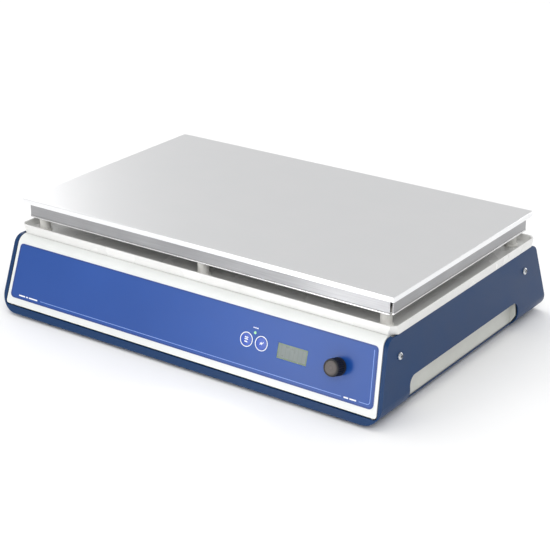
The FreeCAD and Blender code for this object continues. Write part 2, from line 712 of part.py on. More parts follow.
def encoder_shaft():
    """Shaft that turns with the knob, with a flat on its outer half."""
    shaft = rod(SHAFT_R, -BOARD_DEPTH + 2.4, 12.0).cut(box(-4, 4, SHAFT_R - 0.8, 5, 7.0, 13.0))
    return on_front(shaft, KNOB_X, KNOB_Z)


def control_knob():
    """Fluted knob with a shallow dished face, hollow behind for the nut."""
    z0 = OVERLAY_T + KNOB_GAP
    z1 = z0 + KNOB_L
    knob = Part.makeCone(KNOB_R, KNOB_FACE_R, KNOB_L, FreeCAD.Vector(0, 0, z0))
    knob = knob.makeFillet(0.8, [e for e in knob.Edges if abs(e.CenterOfMass.z - z1) < 0.01])
    flutes = []
    for i in range(KNOB_FLUTES):
        turn = 2 * math.pi * i / KNOB_FLUTES
        spot = ((KNOB_R + 0.35) * math.cos(turn), (KNOB_R + 0.35) * math.sin(turn))
        flutes.append(rod(0.75, z0 + 1.2, z1 - 1.6, *spot))
    hollow = rod(7.0, z0 - 1, 7.0)
    bore = rod(SHAFT_R, 6.0, 12.0).cut(box(-4, 4, SHAFT_R - 0.8, 5, 5.0, 13.0))
    dish = rod(KNOB_FACE_R - 1.6, z1 - 0.35, z1 + 1)
    return on_front(cut_all(knob, flutes + [hollow, bore, dish]), KNOB_X, KNOB_Z)


def knob_insert():
    """Grey disc set in the knob's face."""
    z1 = OVERLAY_T + KNOB_GAP + KNOB_L
    return on_front(rod(KNOB_FACE_R - 1.6, z1 - 0.35, z1 - 0.05), KNOB_X, KNOB_Z)


# ---- rear services -------------------------------------------------------------------------------

def mains_inlet():
    """Snap-in mains inlet: a socket above a bay for the fuse drawer."""
    flange = box(-15.5, 15.5, -19.0, 19.0, 0.0, 2.5)
    flange = flange.makeFillet(2.0, upright_edges(flange))
    shell = box(-13.5, 13.5, -17.0, 17.0, -24.0, 0.1)
    socket = box(-12.2, 12.2, -2.6, 13.9, -16.0, 4.0)
    socket = socket.makeFillet(3.0, upright_edges(socket))
    bay = box(-11.0, 11.0, -15.2, -5.4, -20.0, 4.0)
    return on_rear(fuse([flange, shell]).cut(socket).cut(bay), INLET_X, REAR_Z)


def inlet_pins():
    """Three flat pins in the socket, with solder tags behind."""
    pins = [box(x - 1, x + 1, y - 2, y + 2, -16.0, -3.0) for x, y in ((-7, 3.0), (7, 3.0), (0, 9.0))]
    tags = [box(x - 0.4, x + 0.4, y - 2, y + 2, -31.0, -24.0) for x, y in ((-7, 3.0), (7, 3.0), (0, 9.0))]
    return group([on_rear(piece, INLET_X, REAR_Z) for piece in pins + tags])


def fuse_drawer():
    """Pull-out drawer with two fuse troughs and a finger lip."""
    drawer = box(-10.6, 10.6, -14.9, -5.7, -18.5, 2.5)
    lip = box(-5.0, 5.0, -14.0, -11.5, 2.4, 4.2)
    troughs = [box(x - 3.0, x + 3.0, -12.6, -5.0, -17.0, -1.5) for x in (-5.2, 5.2)]
    return on_rear(cut_all(fuse([drawer, lip]), troughs), INLET_X, REAR_Z)


def mains_fuses():
    """Two glass cartridge fuses lying in the drawer."""
    return group([on_rear(bar(2.5, (x, -9.4, -16.9), (x, -9.4, -1.6)), INLET_X, REAR_Z) for x in (-5.2, 5.2)])


def switch_housing():
    """Housing of the rocker switch, with its bezel outside the rear wall."""
    bezel = box(-7.9, 7.9, -11.0, 11.0, 0.0, 2.0)
    bezel = bezel.makeFillet(1.5, upright_edges(bezel))
    shell = box(-6.5, 6.5, -9.5, 9.5, -17.0, 0.1)
    well = box(-5.4, 5.4, -8.6, 8.6, -8.0, 4.0)
    tags = [box(-2.4, 2.4, y - 0.4, y + 0.4, -24.0, -16.9) for y in (-6, 6)]
    return on_rear(fuse([bezel, shell] + tags).cut(well), SWITCH_X, REAR_Z)


def switch_rocker():
    """Rocker with a shallow V face, tipped to its off side about its cross pin."""
    profile = [(-7.8, 3.2), (0.0, 2.2), (7.8, 3.2), (7.6, -1.0), (2.0, -4.5), (-2.0, -4.5), (-7.6, -1.0)]
    points = [FreeCAD.Vector(-5.0, y, z) for y, z in profile]
    rocker = Part.Face(Part.makePolygon(points + points[:1])).extrude(FreeCAD.Vector(10.0, 0, 0))
    rocker.rotate(FreeCAD.Vector(0, 0, ROCK_DEPTH), FreeCAD.Vector(1, 0, 0), ROCK_ANGLE / 2)
    return on_rear(rocker, SWITCH_X, REAR_Z)


def earth_stud():
    """Brass earthing stud with a washer and a nut, through the rear wall."""
    x = SWITCH_X - 28
    stud = on_rear(rod(2.0, -14.0, 5.5), x, REAR_Z)
    washer = on_rear(tube(4.5, 2.0, 0.0, 0.8), x, REAR_Z)
    nut = on_rear(hexagon(7.0, 0.8, 4.0).cut(rod(2.0, 0, 5)), x, REAR_Z)
    inner = on_rear(hexagon(7.0, -SHEET - 3.2, -SHEET).cut(rod(2.0, -8, 0)), x, REAR_Z)
    return group([stud, washer, nut, inner])


# ---- electronics in the case ---------------------------------------------------------------------

def power_board():
    """Main circuit board on standoffs above the floor."""
    z = FLOOR + POWER_LIFT
    board = box(POWER_X[0], POWER_X[1], POWER_Y[0], POWER_Y[1], z, z + BOARD_T)
    return cut_all(board, [rod(1.6, z - 1, z + 3, x, y) for x, y in power_board_spots()])


def power_standoffs():
    """Four hexagonal pillars under the power board."""
    return group([hexagon(6.0, FLOOR, FLOOR + POWER_LIFT, x, y).cut(rod(1.5, FLOOR - 1, FLOOR + 20, x, y))
                  for x, y in power_board_spots()])


def board_screws():
    """Screws that hold the power board to its standoffs."""
    z = FLOOR + POWER_LIFT + BOARD_T
    return group([fuse([rod(2.8, z, z + 2.0, x, y), rod(1.5, z - 7.0, z + 0.5, x, y)])
                  for x, y in power_board_spots()])


def heat_sink():
    """Finned aluminium block for the power switch."""
    z = FLOOR + POWER_LIFT + BOARD_T
    block = box(60, 120, 40, 46, z, z + 34)
    fins = [box(60 + 6 * i, 61.8 + 6 * i, 45.5, 66, z + 2, z + 34) for i in range(10)]
    return fuse([block] + fins)


def power_switch_device():
    """Flat-packed semiconductor bolted to the heat sink."""
    z = FLOOR + POWER_LIFT + BOARD_T
    body = box(84, 94.4, 35.4, 40, z + 8, z + 24)
    legs = [box(x - 0.5, x + 0.5, 37.4, 37.9, z, z + 8.1) for x in (86.6, 89.2, 91.8)]
    return fuse([body] + legs)


def supply_transformer():
    """Small board transformer: laminated core with a bobbin."""
    z = FLOOR + POWER_LIFT + BOARD_T
    core = box(150, 196, 48, 84, z + 3, z + 32)
    bobbin = box(158, 188, 42, 90, z, z + 27)
    return fuse([core, bobbin])


def relay():
    """Sealed relay that isolates the heater."""
    z = FLOOR + POWER_LIFT + BOARD_T
    return slab(29.0, 13.0, z, z + 25.5, 1.0, 172.0, 22.0)


def capacitors():
    """Three board capacitors."""
    z = FLOOR + POWER_LIFT + BOARD_T
    return group([rod(5.0, z, z + 16, 66, -4), rod(5.0, z, z + 16, 80, -4), rod(4.0, z, z + 11, 96, -5)])


def terminal_strip():
    """Screw terminals along the board's edge for mains and heater wires."""
    z = FLOOR + POWER_LIFT + BOARD_T
    strip = box(112, 156, -12, 1, z, z + 15)
    cells = [box(114 + 8.4 * i, 120.4 + 8.4 * i, -10, -1, z + 9, z + 16) for i in range(5)]
    return cut_all(strip, cells)


def wire(radius, points):
    """Insulated wire along straight runs with rounded joints."""
    runs = [bar(radius, a, b) for a, b in zip(points, points[1:])]
    joints = [Part.makeSphere(radius, FreeCAD.Vector(*p)) for p in points[1:-1]]
    return fuse(runs + joints)


def heater_leads():
    """Wires from the terminal strip up through the ceramic bush."""
    z = FLOOR + POWER_LIFT + BOARD_T + 17
    top = PAN_BOTTOM + SHEET + BLANKET_T + 1.5
    leads = []
    for i, (dx, dy) in enumerate(((-2.6, -1.6), (0.0, 2.6), (2.6, -1.6))):
        x_end = 117.2 + 8.4 * i
        leads.append(wire(1.1, [(dx, BUSH_Y + dy, top), (dx, BUSH_Y + dy, z + 22 + 3 * i),
                                (dx + 26, BUSH_Y - 50, z + 10 + 3 * i), (x_end, -5.5, z + 10), (x_end, -5.5, z - 7.4)]))
    return group(leads)


def mains_leads():
    """Wires from the inlet and switch to the board's terminals."""
    z = FLOOR + POWER_LIFT + BOARD_T
    leads = []
    for i, x in enumerate((176.0, 163.0)):
        leads.append(wire(1.1, [(x, 119.0, 41.0 + 2 * i), (x + 2, 104.0 + 3 * i, z + 38), (200 - 4 * i, 60, z + 38),
                                (200 - 4 * i, -5.5 - 3 * i, z + 30), (142.4 + 8.4 * i, -5.5, z + 26),
                                (142.4 + 8.4 * i, -5.5, z + 9.2)]))
    return group(leads)


PARTS = {
    "top_plate": top_plate, "heater_pan": heater_pan, "insulation_blanket": insulation_blanket,
    "heating_element_right": heating_element,
    "heating_element_left": lambda: mirror_x(heating_element()),
    "element_clamps": element_clamps, "clamp_screws": clamp_screws,
    "plate_sensor": plate_sensor, "sensor_clip": sensor_clip, "overheat_cutout": overheat_cutout,
    "spacer_sleeves": spacer_sleeves, "plate_studs": plate_studs,
    "stud_nuts": stud_nuts,
    "spill_tray": spill_tray, "lead_bush": lead_bush,
    "chassis_wrap": chassis_wrap, "base_shell": base_shell,
    "end_wall_right": end_wall, "end_wall_left": lambda: mirror_x(end_wall()),
    "side_screws_right": side_screws, "side_screws_left": lambda: mirror_x(side_screws()),
    "base_screws": base_screws, "foot_screws": foot_screws,
    "front_overlay": front_overlay, "key_rings": key_rings,
    "key_left": lambda: touch_key(KEY_X[0]), "key_right": lambda: touch_key(KEY_X[1]),
    "key_switches": key_switches, "status_lamp": status_lamp,
    "display_window": display_window, "display_module": display_module,
    "control_board": control_board, "control_standoffs": control_standoffs,
    "encoder_body": encoder_body, "encoder_nut": encoder_nut, "encoder_shaft": encoder_shaft,
    "control_knob": control_knob, "knob_insert": knob_insert,
    "mains_inlet": mains_inlet, "inlet_pins": inlet_pins, "fuse_drawer": fuse_drawer,
    "mains_fuses": mains_fuses, "switch_housing": switch_housing, "switch_rocker": switch_rocker,
    "earth_stud": earth_stud, "power_board": power_board, "power_standoffs": power_standoffs,
    "board_screws": board_screws, "heat_sink": heat_sink, "power_switch_device": power_switch_device,
    "supply_transformer": supply_transformer, "relay": relay, "capacitors": capacitors,
    "terminal_strip": terminal_strip, "heater_leads": heater_leads, "mains_leads": mains_leads,
    "rubber_feet": lambda: group([rubber_foot(x, y) for x, y in foot_spots()]),
    "support_pillars": lambda: group([support_pillar(x, y) for x, y in pillar_spots()]),
}


def main():
    """Builds every sub-part and writes one file for each."""
    os.makedirs("parts", exist_ok=True)
    shift = FreeCAD.Placement(FreeCAD.Vector(0, PLATE_Y, 0), FreeCAD.Rotation())
    for name, build in PARTS.items():
        placed(build(), shift).exportStep(f"parts/{name}.step")


main()
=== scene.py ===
"""Large digital laboratory hot plate: its finished look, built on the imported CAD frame, in metres.

The frame's nodes give every place. Visible sub-parts are remade here with eased edges, folds and
print, and the rest keep their CAD shape and get a procedural finish. The file is laid out as an
add-on: properties hold the sizes and colours, one operator makes each group of like pieces, and
main() runs them in order.
"""
import json
import math

import bmesh
import bpy
from mathutils import Matrix, Vector


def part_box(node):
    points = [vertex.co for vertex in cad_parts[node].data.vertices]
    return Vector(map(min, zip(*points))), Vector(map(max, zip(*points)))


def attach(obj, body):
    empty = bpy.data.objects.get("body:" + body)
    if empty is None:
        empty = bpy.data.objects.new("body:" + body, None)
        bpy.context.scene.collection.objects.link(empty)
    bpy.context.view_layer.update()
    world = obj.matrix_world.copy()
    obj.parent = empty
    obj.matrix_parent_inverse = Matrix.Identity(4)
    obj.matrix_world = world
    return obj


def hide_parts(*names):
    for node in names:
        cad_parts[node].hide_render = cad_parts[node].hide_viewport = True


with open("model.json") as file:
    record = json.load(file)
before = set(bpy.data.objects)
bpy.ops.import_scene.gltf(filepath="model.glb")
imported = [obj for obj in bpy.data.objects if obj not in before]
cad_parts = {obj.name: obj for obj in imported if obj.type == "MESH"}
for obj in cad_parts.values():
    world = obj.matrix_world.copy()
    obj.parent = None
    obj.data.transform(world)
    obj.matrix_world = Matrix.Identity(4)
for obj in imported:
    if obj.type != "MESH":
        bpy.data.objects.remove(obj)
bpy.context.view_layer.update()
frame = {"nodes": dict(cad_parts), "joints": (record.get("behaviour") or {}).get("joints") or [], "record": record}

bl_info = {
    "name": "Laboratory hot plate",
    "version": (1, 0, 0),
    "blender": (4, 5, 0),
    "location": "View3D > Sidebar > Hot plate",
    "description": "Builds the looks of a large digital hot plate round its CAD frame",
    "category": "Object",
}

MM = 0.001
SMOOTH_ANGLE = math.radians(35)
# Radius and height of the case screws' heads, and the length of their cross recess
SCREW_HEAD = 4.0 * MM
SCREW_RISE = 2.6 * MM
SCREW_WING = 4.4 * MM
# Thickness of the printed inks; the overlay's painted edge shade is half as thick
INK = 0.06 * MM
KEY_INK = 0.05 * MM
# The panel's lower line: where it stops and starts again beside the plain marks, from its ends
LINE_START = 46.0 * MM
LINE_STOP = 38.0 * MM
LINE_RESUME = 17.0 * MM
# The plain marks on that line: start from the panel's left or right end, and length
LEFT_MARKS = ((13.0 * MM, 9.5 * MM), (24.0 * MM, 3.0 * MM), (28.5 * MM, 13.0 * MM))
RIGHT_MARKS = ((-35.0 * MM, 5.5 * MM), (-28.0 * MM, 8.0 * MM))
MARK_WIDTH = 1.5 * MM
# Radians that a wave texture turns in one unit at a scale of one
WAVE_RATE = 20.0


def joint_axis(name):
    """Direction of one of the frame's joints."""
    return Vector(next(joint["axis"] for joint in frame["joints"] if joint["name"] == name)).normalized()


# The sloping walls' own directions: out of the wall, and up it
ALONG = Vector((1, 0, 0))
FRONT_OUT = joint_axis("knob_turn")
FRONT_UP = FRONT_OUT.cross(ALONG)
FRONT_WALL = Matrix((ALONG, FRONT_UP, FRONT_OUT)).transposed().to_4x4()


# ---- reading the frame ---------------------------------------------------------------------------

def span(node, direction):
    """Lowest and highest reach of a CAD node along a direction."""
    reach = [vertex.co.dot(direction) for vertex in frame["nodes"][node].data.vertices]
    return min(reach), max(reach)


def wall_spot(node):
    """Middle of a CAD node across and up the front wall."""
    low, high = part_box(node)
    bottom, top = span(node, FRONT_UP)
    return (low.x + high.x) / 2, (bottom + top) / 2


def panel_face():
    """How far out of the origin the overlay's printed face lies."""
    return span("front_overlay", FRONT_OUT)[1]


# ---- outlines and meshes -------------------------------------------------------------------------

def inset_outline(points, inset):
    """A convex anticlockwise outline with every side moved in."""
    sides = []
    for i, start in enumerate(points):
        run = (points[(i + 1) % len(points)] - start).normalized()
        sides.append((start + Vector((-run.y, run.x)) * inset, run))
    corners = []
    for i, (start, run) in enumerate(sides):
        before, before_run = sides[i - 1]
        along = (start - before).cross(run) / before_run.cross(run)
        corners.append(before + before_run * along)
    return corners


def rounded_outline(points, radius, steps=4):
    """An anticlockwise outline whose corners are arcs."""
    outline = []
    for i, corner in enumerate(points):
        back = (points[i - 1] - corner).normalized()
        ahead = (points[(i + 1) % len(points)] - corner).normalized()
        half = back.angle(ahead) / 2
        centre = corner + (back + ahead).normalized() * (radius / math.sin(half))
        spoke = corner + back * (radius / math.tan(half)) - centre
        for step in range(steps + 1):
            turn = (math.pi - 2 * half) * step / steps
            outline.append(centre + Matrix.Rotation(turn, 2) @ spoke)
    return outline


def rectangle(x0, x1, y0, y1):
    """Corners of a rectangle, anticlockwise."""
    return [Vector((x0, y0)), Vector((x1, y0)), Vector((x1, y1)), Vector((x0, y1))]


def arc(x, z, radius, start, end, steps=4):
    """Points on an arc of a profile, from one angle to another in degrees."""
    turns = [math.radians(start + (end - start) * i / steps) for i in range(steps + 1)]
    return [(x + radius * math.cos(turn), z + radius * math.sin(turn)) for turn in turns]


def finished_mesh(shape, name):
    """Merges doubles, turns the faces outwards and marks edges sharp by angle."""
    bmesh.ops.remove_doubles(shape, verts=shape.verts, dist=1e-7)
    bmesh.ops.recalc_face_normals(shape, faces=shape.faces)
    mesh = bpy.data.meshes.new(name)
    shape.to_mesh(mesh)
    shape.free()
    mesh.shade_smooth()
    mesh.set_sharp_from_angle(angle=SMOOTH_ANGLE)
    return mesh


def loft(shape, rings, closed=False):
    """Faces between rings of points; open ends are filled, or the last ring meets the first."""
    loops = [[shape.verts.new(point) for point in ring] for ring in rings]
    pairs = list(zip(loops, loops[1:]))
    if closed:
        pairs.append((loops[-1], loops[0]))
    else:
        shape.faces.new(loops[0])
        shape.faces.new(loops[-1])
    for low, high in pairs:
        for i in range(len(low)):
            shape.faces.new((low[i - 1], low[i], high[i], high[i - 1]))


def stacked(shape, outline, corner, profile, least=0.05 * MM, closed=False):
    """A solid from one outline, inset and raised by each (inset, height) of a profile.

    Corner is the outline's corner radius, and least the smallest that an inset leaves. A closed
    profile makes a ring with a hole, and an open one a solid with both its ends filled.
    """
    rings = []
    for inset, height in profile:
        ring = rounded_outline(inset_outline(outline, inset), max(corner - inset, least))
        rings.append([Vector((point.x, point.y, height)) for point in ring])
    loft(shape, rings, closed)


def turned(shape, profile, segments=48, closed=False):
    """A turned solid about Z from (radius, height) points."""
    rings = []
    for radius, height in profile:
        turns = [2 * math.pi * i / segments for i in range(segments)]
        rings.append([Vector((radius * math.cos(t), radius * math.sin(t), height)) for t in turns])
    loft(shape, rings, closed)


def stroke(shape, points, width, low, high):
    """A flat printed line of even width along points, with a small thickness."""
    sides = []
    for i, point in enumerate(points):
        ahead = points[min(i + 1, len(points) - 1)] - point
        back = point - points[max(i - 1, 0)]
        if back.length < 1e-9:
            back = ahead
        if ahead.length < 1e-9:
            ahead = back
        run = (back.normalized() + ahead.normalized()).normalized()
        offset = Vector((-run.y, run.x)) * (width / 2 / max(run.dot(back.normalized()), 0.3))
        sides.append((point + offset, point - offset))
    rings = [[Vector((*left, low)), Vector((*right, low)), Vector((*right, high)), Vector((*left, high))]
             for left, right in sides]
    loft(shape, rings)


def circle_points(centre, radius, start, end, steps=24):
    """Points round part of a circle, as vectors."""
    return [centre + Vector(spoke) for spoke in arc(0.0, 0.0, radius, start, end, steps)]


def eased_slab(low, high, low_edge, high_edge, rim):
    """Profile of a flat slab with eased edges and a narrow flat rim that keeps its faces flat."""
    return ([(low_edge + rim, low)] + arc(low_edge, low + low_edge, low_edge, 270, 180)
            + arc(high_edge, high - high_edge, high_edge, 180, 90) + [(high_edge + rim, high)])


def piece(name, mesh, body, slot, replaced=(), ink=None):
    """Links a finished mesh as a piece that rides on a body and takes a slot's finish, or an ink's."""
    made = bpy.data.objects.new(name, mesh)
    bpy.context.scene.collection.objects.link(made)
    if not mesh.materials:
        mesh.materials.append(finish(ink or slot))
    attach(made, body)
    if replaced:
        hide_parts(*replaced)
    return made


def made_piece(shape, name, body, slot, replaced=(), ink=None, place=None):
    """Finishes a shape as a piece, moved by a place's matrix first if one is given."""
    mesh = finished_mesh(shape, name)
    if place:
        mesh.transform(place)
    return piece(name, mesh, body, slot, replaced, ink)


def bevelled(made, width, angle=40):
    """Eases a piece's sharp edges with a small bevel."""
    bevel = made.modifiers.new("Eased edges", "BEVEL")
    bevel.width = width
    bevel.segments = 2
    bevel.limit_method = "ANGLE"
    bevel.angle_limit = math.radians(angle)
    bevel.harden_normals = True
    return made


def refined(node, slot, body="case", edge=0.25 * MM):
    """A clean merged copy of a CAD node that stands for it, with eased edges unless the edge is zero."""
    shape = bmesh.new()
    shape.from_mesh(frame["nodes"][node].data)
    bmesh.ops.remove_doubles(shape, verts=shape.verts, dist=1e-6)
    bmesh.ops.dissolve_limit(shape, angle_limit=math.radians(0.3), verts=shape.verts, edges=shape.edges)
    mesh = bpy.data.meshes.new(node + "_finished")
    shape.to_mesh(mesh)
    shape.free()
    mesh.shade_smooth()
    mesh.set_sharp_from_angle(angle=SMOOTH_ANGLE)
    made = piece(node + "_finished", mesh, body, slot, [node])
    return bevelled(made, edge) if edge else made


# ---- Geometry Nodes ------------------------------------------------------------------------------

def add(tree, kind, inputs=None, **settings):
    """Adds a node with its settings, and sets or links its inputs by name or number."""
    made = tree.nodes.new(kind)
    for name, value in settings.items():
        setattr(made, name, value)
    for name, value in (inputs or {}).items():
        if isinstance(value, bpy.types.NodeSocket):
            tree.links.new(value, made.inputs[name])
        else:
            made.inputs[name].default_value = value
    return made


def geometry_tree(name, inputs):
    """A new tree with a geometry input and output and named inputs; returns it and their sockets."""
    tree = bpy.data.node_groups.new(name, "GeometryNodeTree")
    tree.interface.new_socket(name="Geometry", in_out="INPUT", socket_type="NodeSocketGeometry")
    tree.interface.new_socket(name="Geometry", in_out="OUTPUT", socket_type="NodeSocketGeometry")
    for label, kind in inputs.items():
        tree.interface.new_socket(name=label, in_out="INPUT", socket_type="NodeSocket" + kind)
    return tree, add(tree, "NodeGroupInput").outputs


def close_tree(tree, geometry, material):
    """Realizes the instances, sets the material and ends the tree."""
    real = add(tree, "GeometryNodeRealizeInstances", {"Geometry": geometry}).outputs[0]
    coated = add(tree, "GeometryNodeSetMaterial", {"Geometry": real, "Material": material}).outputs[0]
    add(tree, "NodeGroupOutput", {"Geometry": coated})
    return tree


def rows_tree():
    """Copies the input shape in rows and columns centred on a place, then turns them together."""
    tree, given = geometry_tree("Rows of like parts", {
        "Columns": "Int", "Rows": "Int", "Column step": "Vector", "Row step": "Vector",
        "First place": "Vector", "Turn": "Rotation", "Material": "Material"})
    column = add(tree, "GeometryNodeMeshLine", {"Count": given["Columns"], "Offset": given["Column step"]})
    row = add(tree, "GeometryNodeMeshLine", {"Count": given["Rows"], "Offset": given["Row step"],
                                             "Start Location": given["First place"]})
    lines = add(tree, "GeometryNodeInstanceOnPoints", {
        "Points": row.outputs[0], "Instance": column.outputs[0]})
    points = add(tree, "GeometryNodeRealizeInstances", {"Geometry": lines.outputs[0]})
    copies = add(tree, "GeometryNodeInstanceOnPoints", {
        "Points": points.outputs[0], "Instance": given["Geometry"], "Rotation": given["Turn"]})
    return close_tree(tree, copies.outputs[0], given["Material"])


def cross_recess_tree():
    """Cuts a cross recess in the top of a screw head."""
    tree, given = geometry_tree("Cross recess", {
        "Wing": "Vector", "Other wing": "Vector", "Place": "Vector", "Material": "Material"})
    cut = add(tree, "GeometryNodeMeshBoolean", {"Mesh 1": given["Geometry"]}, operation="DIFFERENCE")
    for label in ("Wing", "Other wing"):
        wing = add(tree, "GeometryNodeMeshCube", {"Size": given[label]}).outputs[0]
        placed = add(tree, "GeometryNodeTransform", {"Geometry": wing, "Translation": given["Place"]})
        tree.links.new(placed.outputs[0], cut.inputs["Mesh 2"])
    return close_tree(tree, cut.outputs[0], given["Material"])


def ring_tree():
    """Copies the input shape round a circle, each one facing outwards, and joins them to a core."""
    tree, given = geometry_tree("Ribs round a core", {
        "Count": "Int", "Radius": "Float", "Core": "Object", "Material": "Material"})
    circle = add(tree, "GeometryNodeCurvePrimitiveCircle", {"Radius": given["Radius"], "Resolution": 64})
    points = add(tree, "GeometryNodeCurveToPoints", {"Curve": circle.outputs[0], "Count": given["Count"]})
    ribs = add(tree, "GeometryNodeInstanceOnPoints", {
        "Points": points.outputs[0], "Instance": given["Geometry"]})
    core = add(tree, "GeometryNodeObjectInfo", {"Object": given["Core"]})
    joined = add(tree, "GeometryNodeJoinGeometry", {"Geometry": ribs.outputs[0]})
    tree.links.new(core.outputs["Geometry"], joined.inputs[0])
    return close_tree(tree, joined.outputs[0], given["Material"])


def grown(mesh, tree, values):
    """The plain mesh that a tree makes from a mesh, with the tree's inputs set by name."""
    holder = bpy.data.objects.new(tree.name, mesh)
    bpy.context.scene.collection.objects.link(holder)
    modifier = holder.modifiers.new(tree.name, "NODES")
    modifier.node_group = tree
    for item in tree.interface.items_tree:
        if item.item_type == "SOCKET" and item.in_out == "INPUT" and item.name in values:
            modifier[item.identifier] = values[item.name]
    depsgraph = bpy.context.evaluated_depsgraph_get()
    result = bpy.data.meshes.new_from_object(holder.evaluated_get(depsgraph))
    bpy.data.objects.remove(holder)
    return result


# ---- materials -----------------------------------------------------------------------------------

def linear(colour):
    """Linear colour from an sRGB hex value."""
    channels = [int(colour[i:i + 2], 16) / 255 for i in (1, 3, 5)]
    return tuple(c / 12.92 if c <= 0.04045 else ((c + 0.055) / 1.055) ** 2.4 for c in channels) + (1.0,)


def start_material(name, **constants):
    """A new material; returns it, its tree, its shader and the place on the object in millimetres."""
    material = bpy.data.materials.new(name)
    material.use_nodes = True
    tree = material.node_tree
    shader = tree.nodes["Principled BSDF"]
    for label, value in constants.items():
        shader.inputs[label.replace("_", " ")].default_value = value
    place = add(tree, "ShaderNodeTexCoord").outputs["Object"]
    place = add(tree, "ShaderNodeVectorMath", {0: place, "Scale": 1 / MM}, operation="SCALE").outputs[0]
    return material, tree, shader, place


def noise(tree, place, size, detail=2.0, stretch=(1.0, 1.0, 1.0)):
    """Noise with blobs of about a size in millimetres, drawn out along the axes with a small stretch."""
    shaped = add(tree, "ShaderNodeMapping", {"Vector": place, "Scale": stretch}).outputs[0]
    made = add(tree, "ShaderNodeTexNoise", {"Vector": shaped, "Scale": 1 / size, "Detail": detail})
    return made.outputs[0]


def wave_scale(spacing):
    """Scale of a wave texture whose bands repeat at a spacing in millimetres."""
    return math.tau / (WAVE_RATE * spacing)


def tint(tree, shader, factor, low, high, start=0.3, end=0.7):
    """Colours the surface between two hex colours by a factor."""
    spread = add(tree, "ShaderNodeMapRange", {"Value": factor, "From Min": start, "From Max": end})
    mixed = add(tree, "ShaderNodeMix", {0: spread.outputs[0], 6: linear(low), 7: linear(high)},
                data_type="RGBA")
    tree.links.new(mixed.outputs[2], shader.inputs["Base Color"])


def sheen_range(tree, shader, factor, low, high):
    """Varies the roughness between two values by a factor."""
    spread = add(tree, "ShaderNodeMapRange", {"Value": factor, "From Min": 0.3, "From Max": 0.7,
                                              "To Min": low, "To Max": high}).outputs[0]
    tree.links.new(spread, shader.inputs["Roughness"])


def relief(tree, shader, height, depth, strength=1.0):
    """Raises the surface by a height pattern, depth in millimetres."""
    bump = add(tree, "ShaderNodeBump", {"Height": height, "Distance": depth * MM, "Strength": strength})
    tree.links.new(bump.outputs[0], shader.inputs["Normal"])


def coated(name, low, high, rough, peel, depth, patch=45.0, **constants):
    """A coat or moulding: fine surface grain, slight colour clouds and uneven sheen."""
    material, tree, shader, place = start_material(name, **constants)
    clouds = noise(tree, place, patch, 3.0)
    tint(tree, shader, clouds, low, high)
    sheen_range(tree, shader, clouds, *rough)
    relief(tree, shader, noise(tree, place, peel, 2.0), depth)
    return material


def brushed(name, low, high, rough, line, stretch, depth, **constants):
    """Bare metal with fine parallel lines: the lines change colour, sheen and height together."""
    material, tree, shader, place = start_material(name, Metallic=1.0, **constants)
    lines = noise(tree, place, line, 3.0, stretch)
    clouds = noise(tree, place, 60.0, 2.0)
    both = add(tree, "ShaderNodeMath", {0: lines, 1: clouds}, operation="MULTIPLY_ADD")
    both.inputs[2].default_value = 0.25
    tint(tree, shader, both.outputs[0], low, high)
    sheen_range(tree, shader, lines, *rough)
    relief(tree, shader, lines, depth)
    return material


def plate_aluminium():
    """Ground, clear-anodised aluminium: satin and almost even, its grinding lines barely catching."""
    colours = bpy.context.scene.hot_plate_colours
    return brushed("Ground anodised aluminium", colours.plate_dark, colours.plate, (0.32, 0.35), 0.9,
                   (0.03, 1.0, 1.0), 0.001)


def pan_steel():
    """Brushed stainless sheet: level brush lines round the walls that spread reflections upwards."""
    return brushed("Brushed stainless sheet", "#98989a", "#b0b0b2", (0.28, 0.38), 0.8,
                   (0.02, 0.02, 1.0), 0.004, Anisotropic=0.75, Anisotropic_Rotation=0.25)


def mill_steel():
    """The same sheet's mill side, left bright under the pan: smooth, so it passes light on to the tray."""
    return coated("Mill-finish stainless sheet", "#d4d4d4", "#e2e2e2", (0.2, 0.3), 1.5, 0.01, Metallic=1.0)


def tray_enamel():
    """White fired enamel on steel: glassy with faint waves, so it mirrors the pan and pillars softly."""
    return coated("White fired enamel", "#dfdfdd", "#e7e7e5", (0.22, 0.3), 2.4, 0.01,
                  Coat_Weight=0.5, Coat_Roughness=0.15)


def case_white():
    """White polyester powder coat on folded steel: slight orange peel under an even semi-gloss."""
    colours = bpy.context.scene.hot_plate_colours
    return coated("White powder coat", colours.case_shade, colours.case, (0.30, 0.38), 1.6, 0.05,
                  Coat_Weight=0.15, Coat_Roughness=0.25)


def case_blue():
    """Dark blue fine-texture powder coat: a tight grain that softens every highlight."""
    colours = bpy.context.scene.hot_plate_colours
    return coated("Dark blue powder coat", colours.shell_shade, colours.shell, (0.34, 0.44), 1.1, 0.04,
                  Specular_IOR_Level=0.25)


def wall_grey():
    """Light grey coat on the inner walls: flat and plain, since it is only seen through the notches."""
    return coated("Light grey powder coat", "#c9cac4", "#d6d7d1", (0.45, 0.55), 1.4, 0.05)


def overlay_blue():
    """Polyester overlay printed on its back: a velvet grain over solid colour, with a soft clear sheen."""
    colours = bpy.context.scene.hot_plate_colours
    return coated("Printed polyester overlay", colours.overlay_deep, colours.overlay, (0.30, 0.36), 0.6,
                  0.012, patch=90.0, Specular_IOR_Level=0.4, Coat_Weight=0.15, Coat_Roughness=0.2)


def overlay_edge_painted_shade():
    """Painted shade: a darker blue line just inside the overlay's edge that stands for the shade along the film's
    cut edge; the film's own blue, two tones down.
    """
    return coated("Dark blue ink", "#142f70", "#17367c", (0.32, 0.38), 0.6, 0.006, patch=20.0)


def line_ink():
    """Pale blue ink: thin and slightly see-through over the overlay's blue."""
    return coated("Pale blue ink", "#7194d8", "#84a3e0", (0.32, 0.38), 0.6, 0.006, patch=20.0)


def ring_white():
    """White screen ink: dense and a little chalky, with a faint edge build-up."""
    return coated("White screen ink", "#e6eaf4", "#f6f8fc", (0.38, 0.46), 0.5, 0.01, patch=8.0)


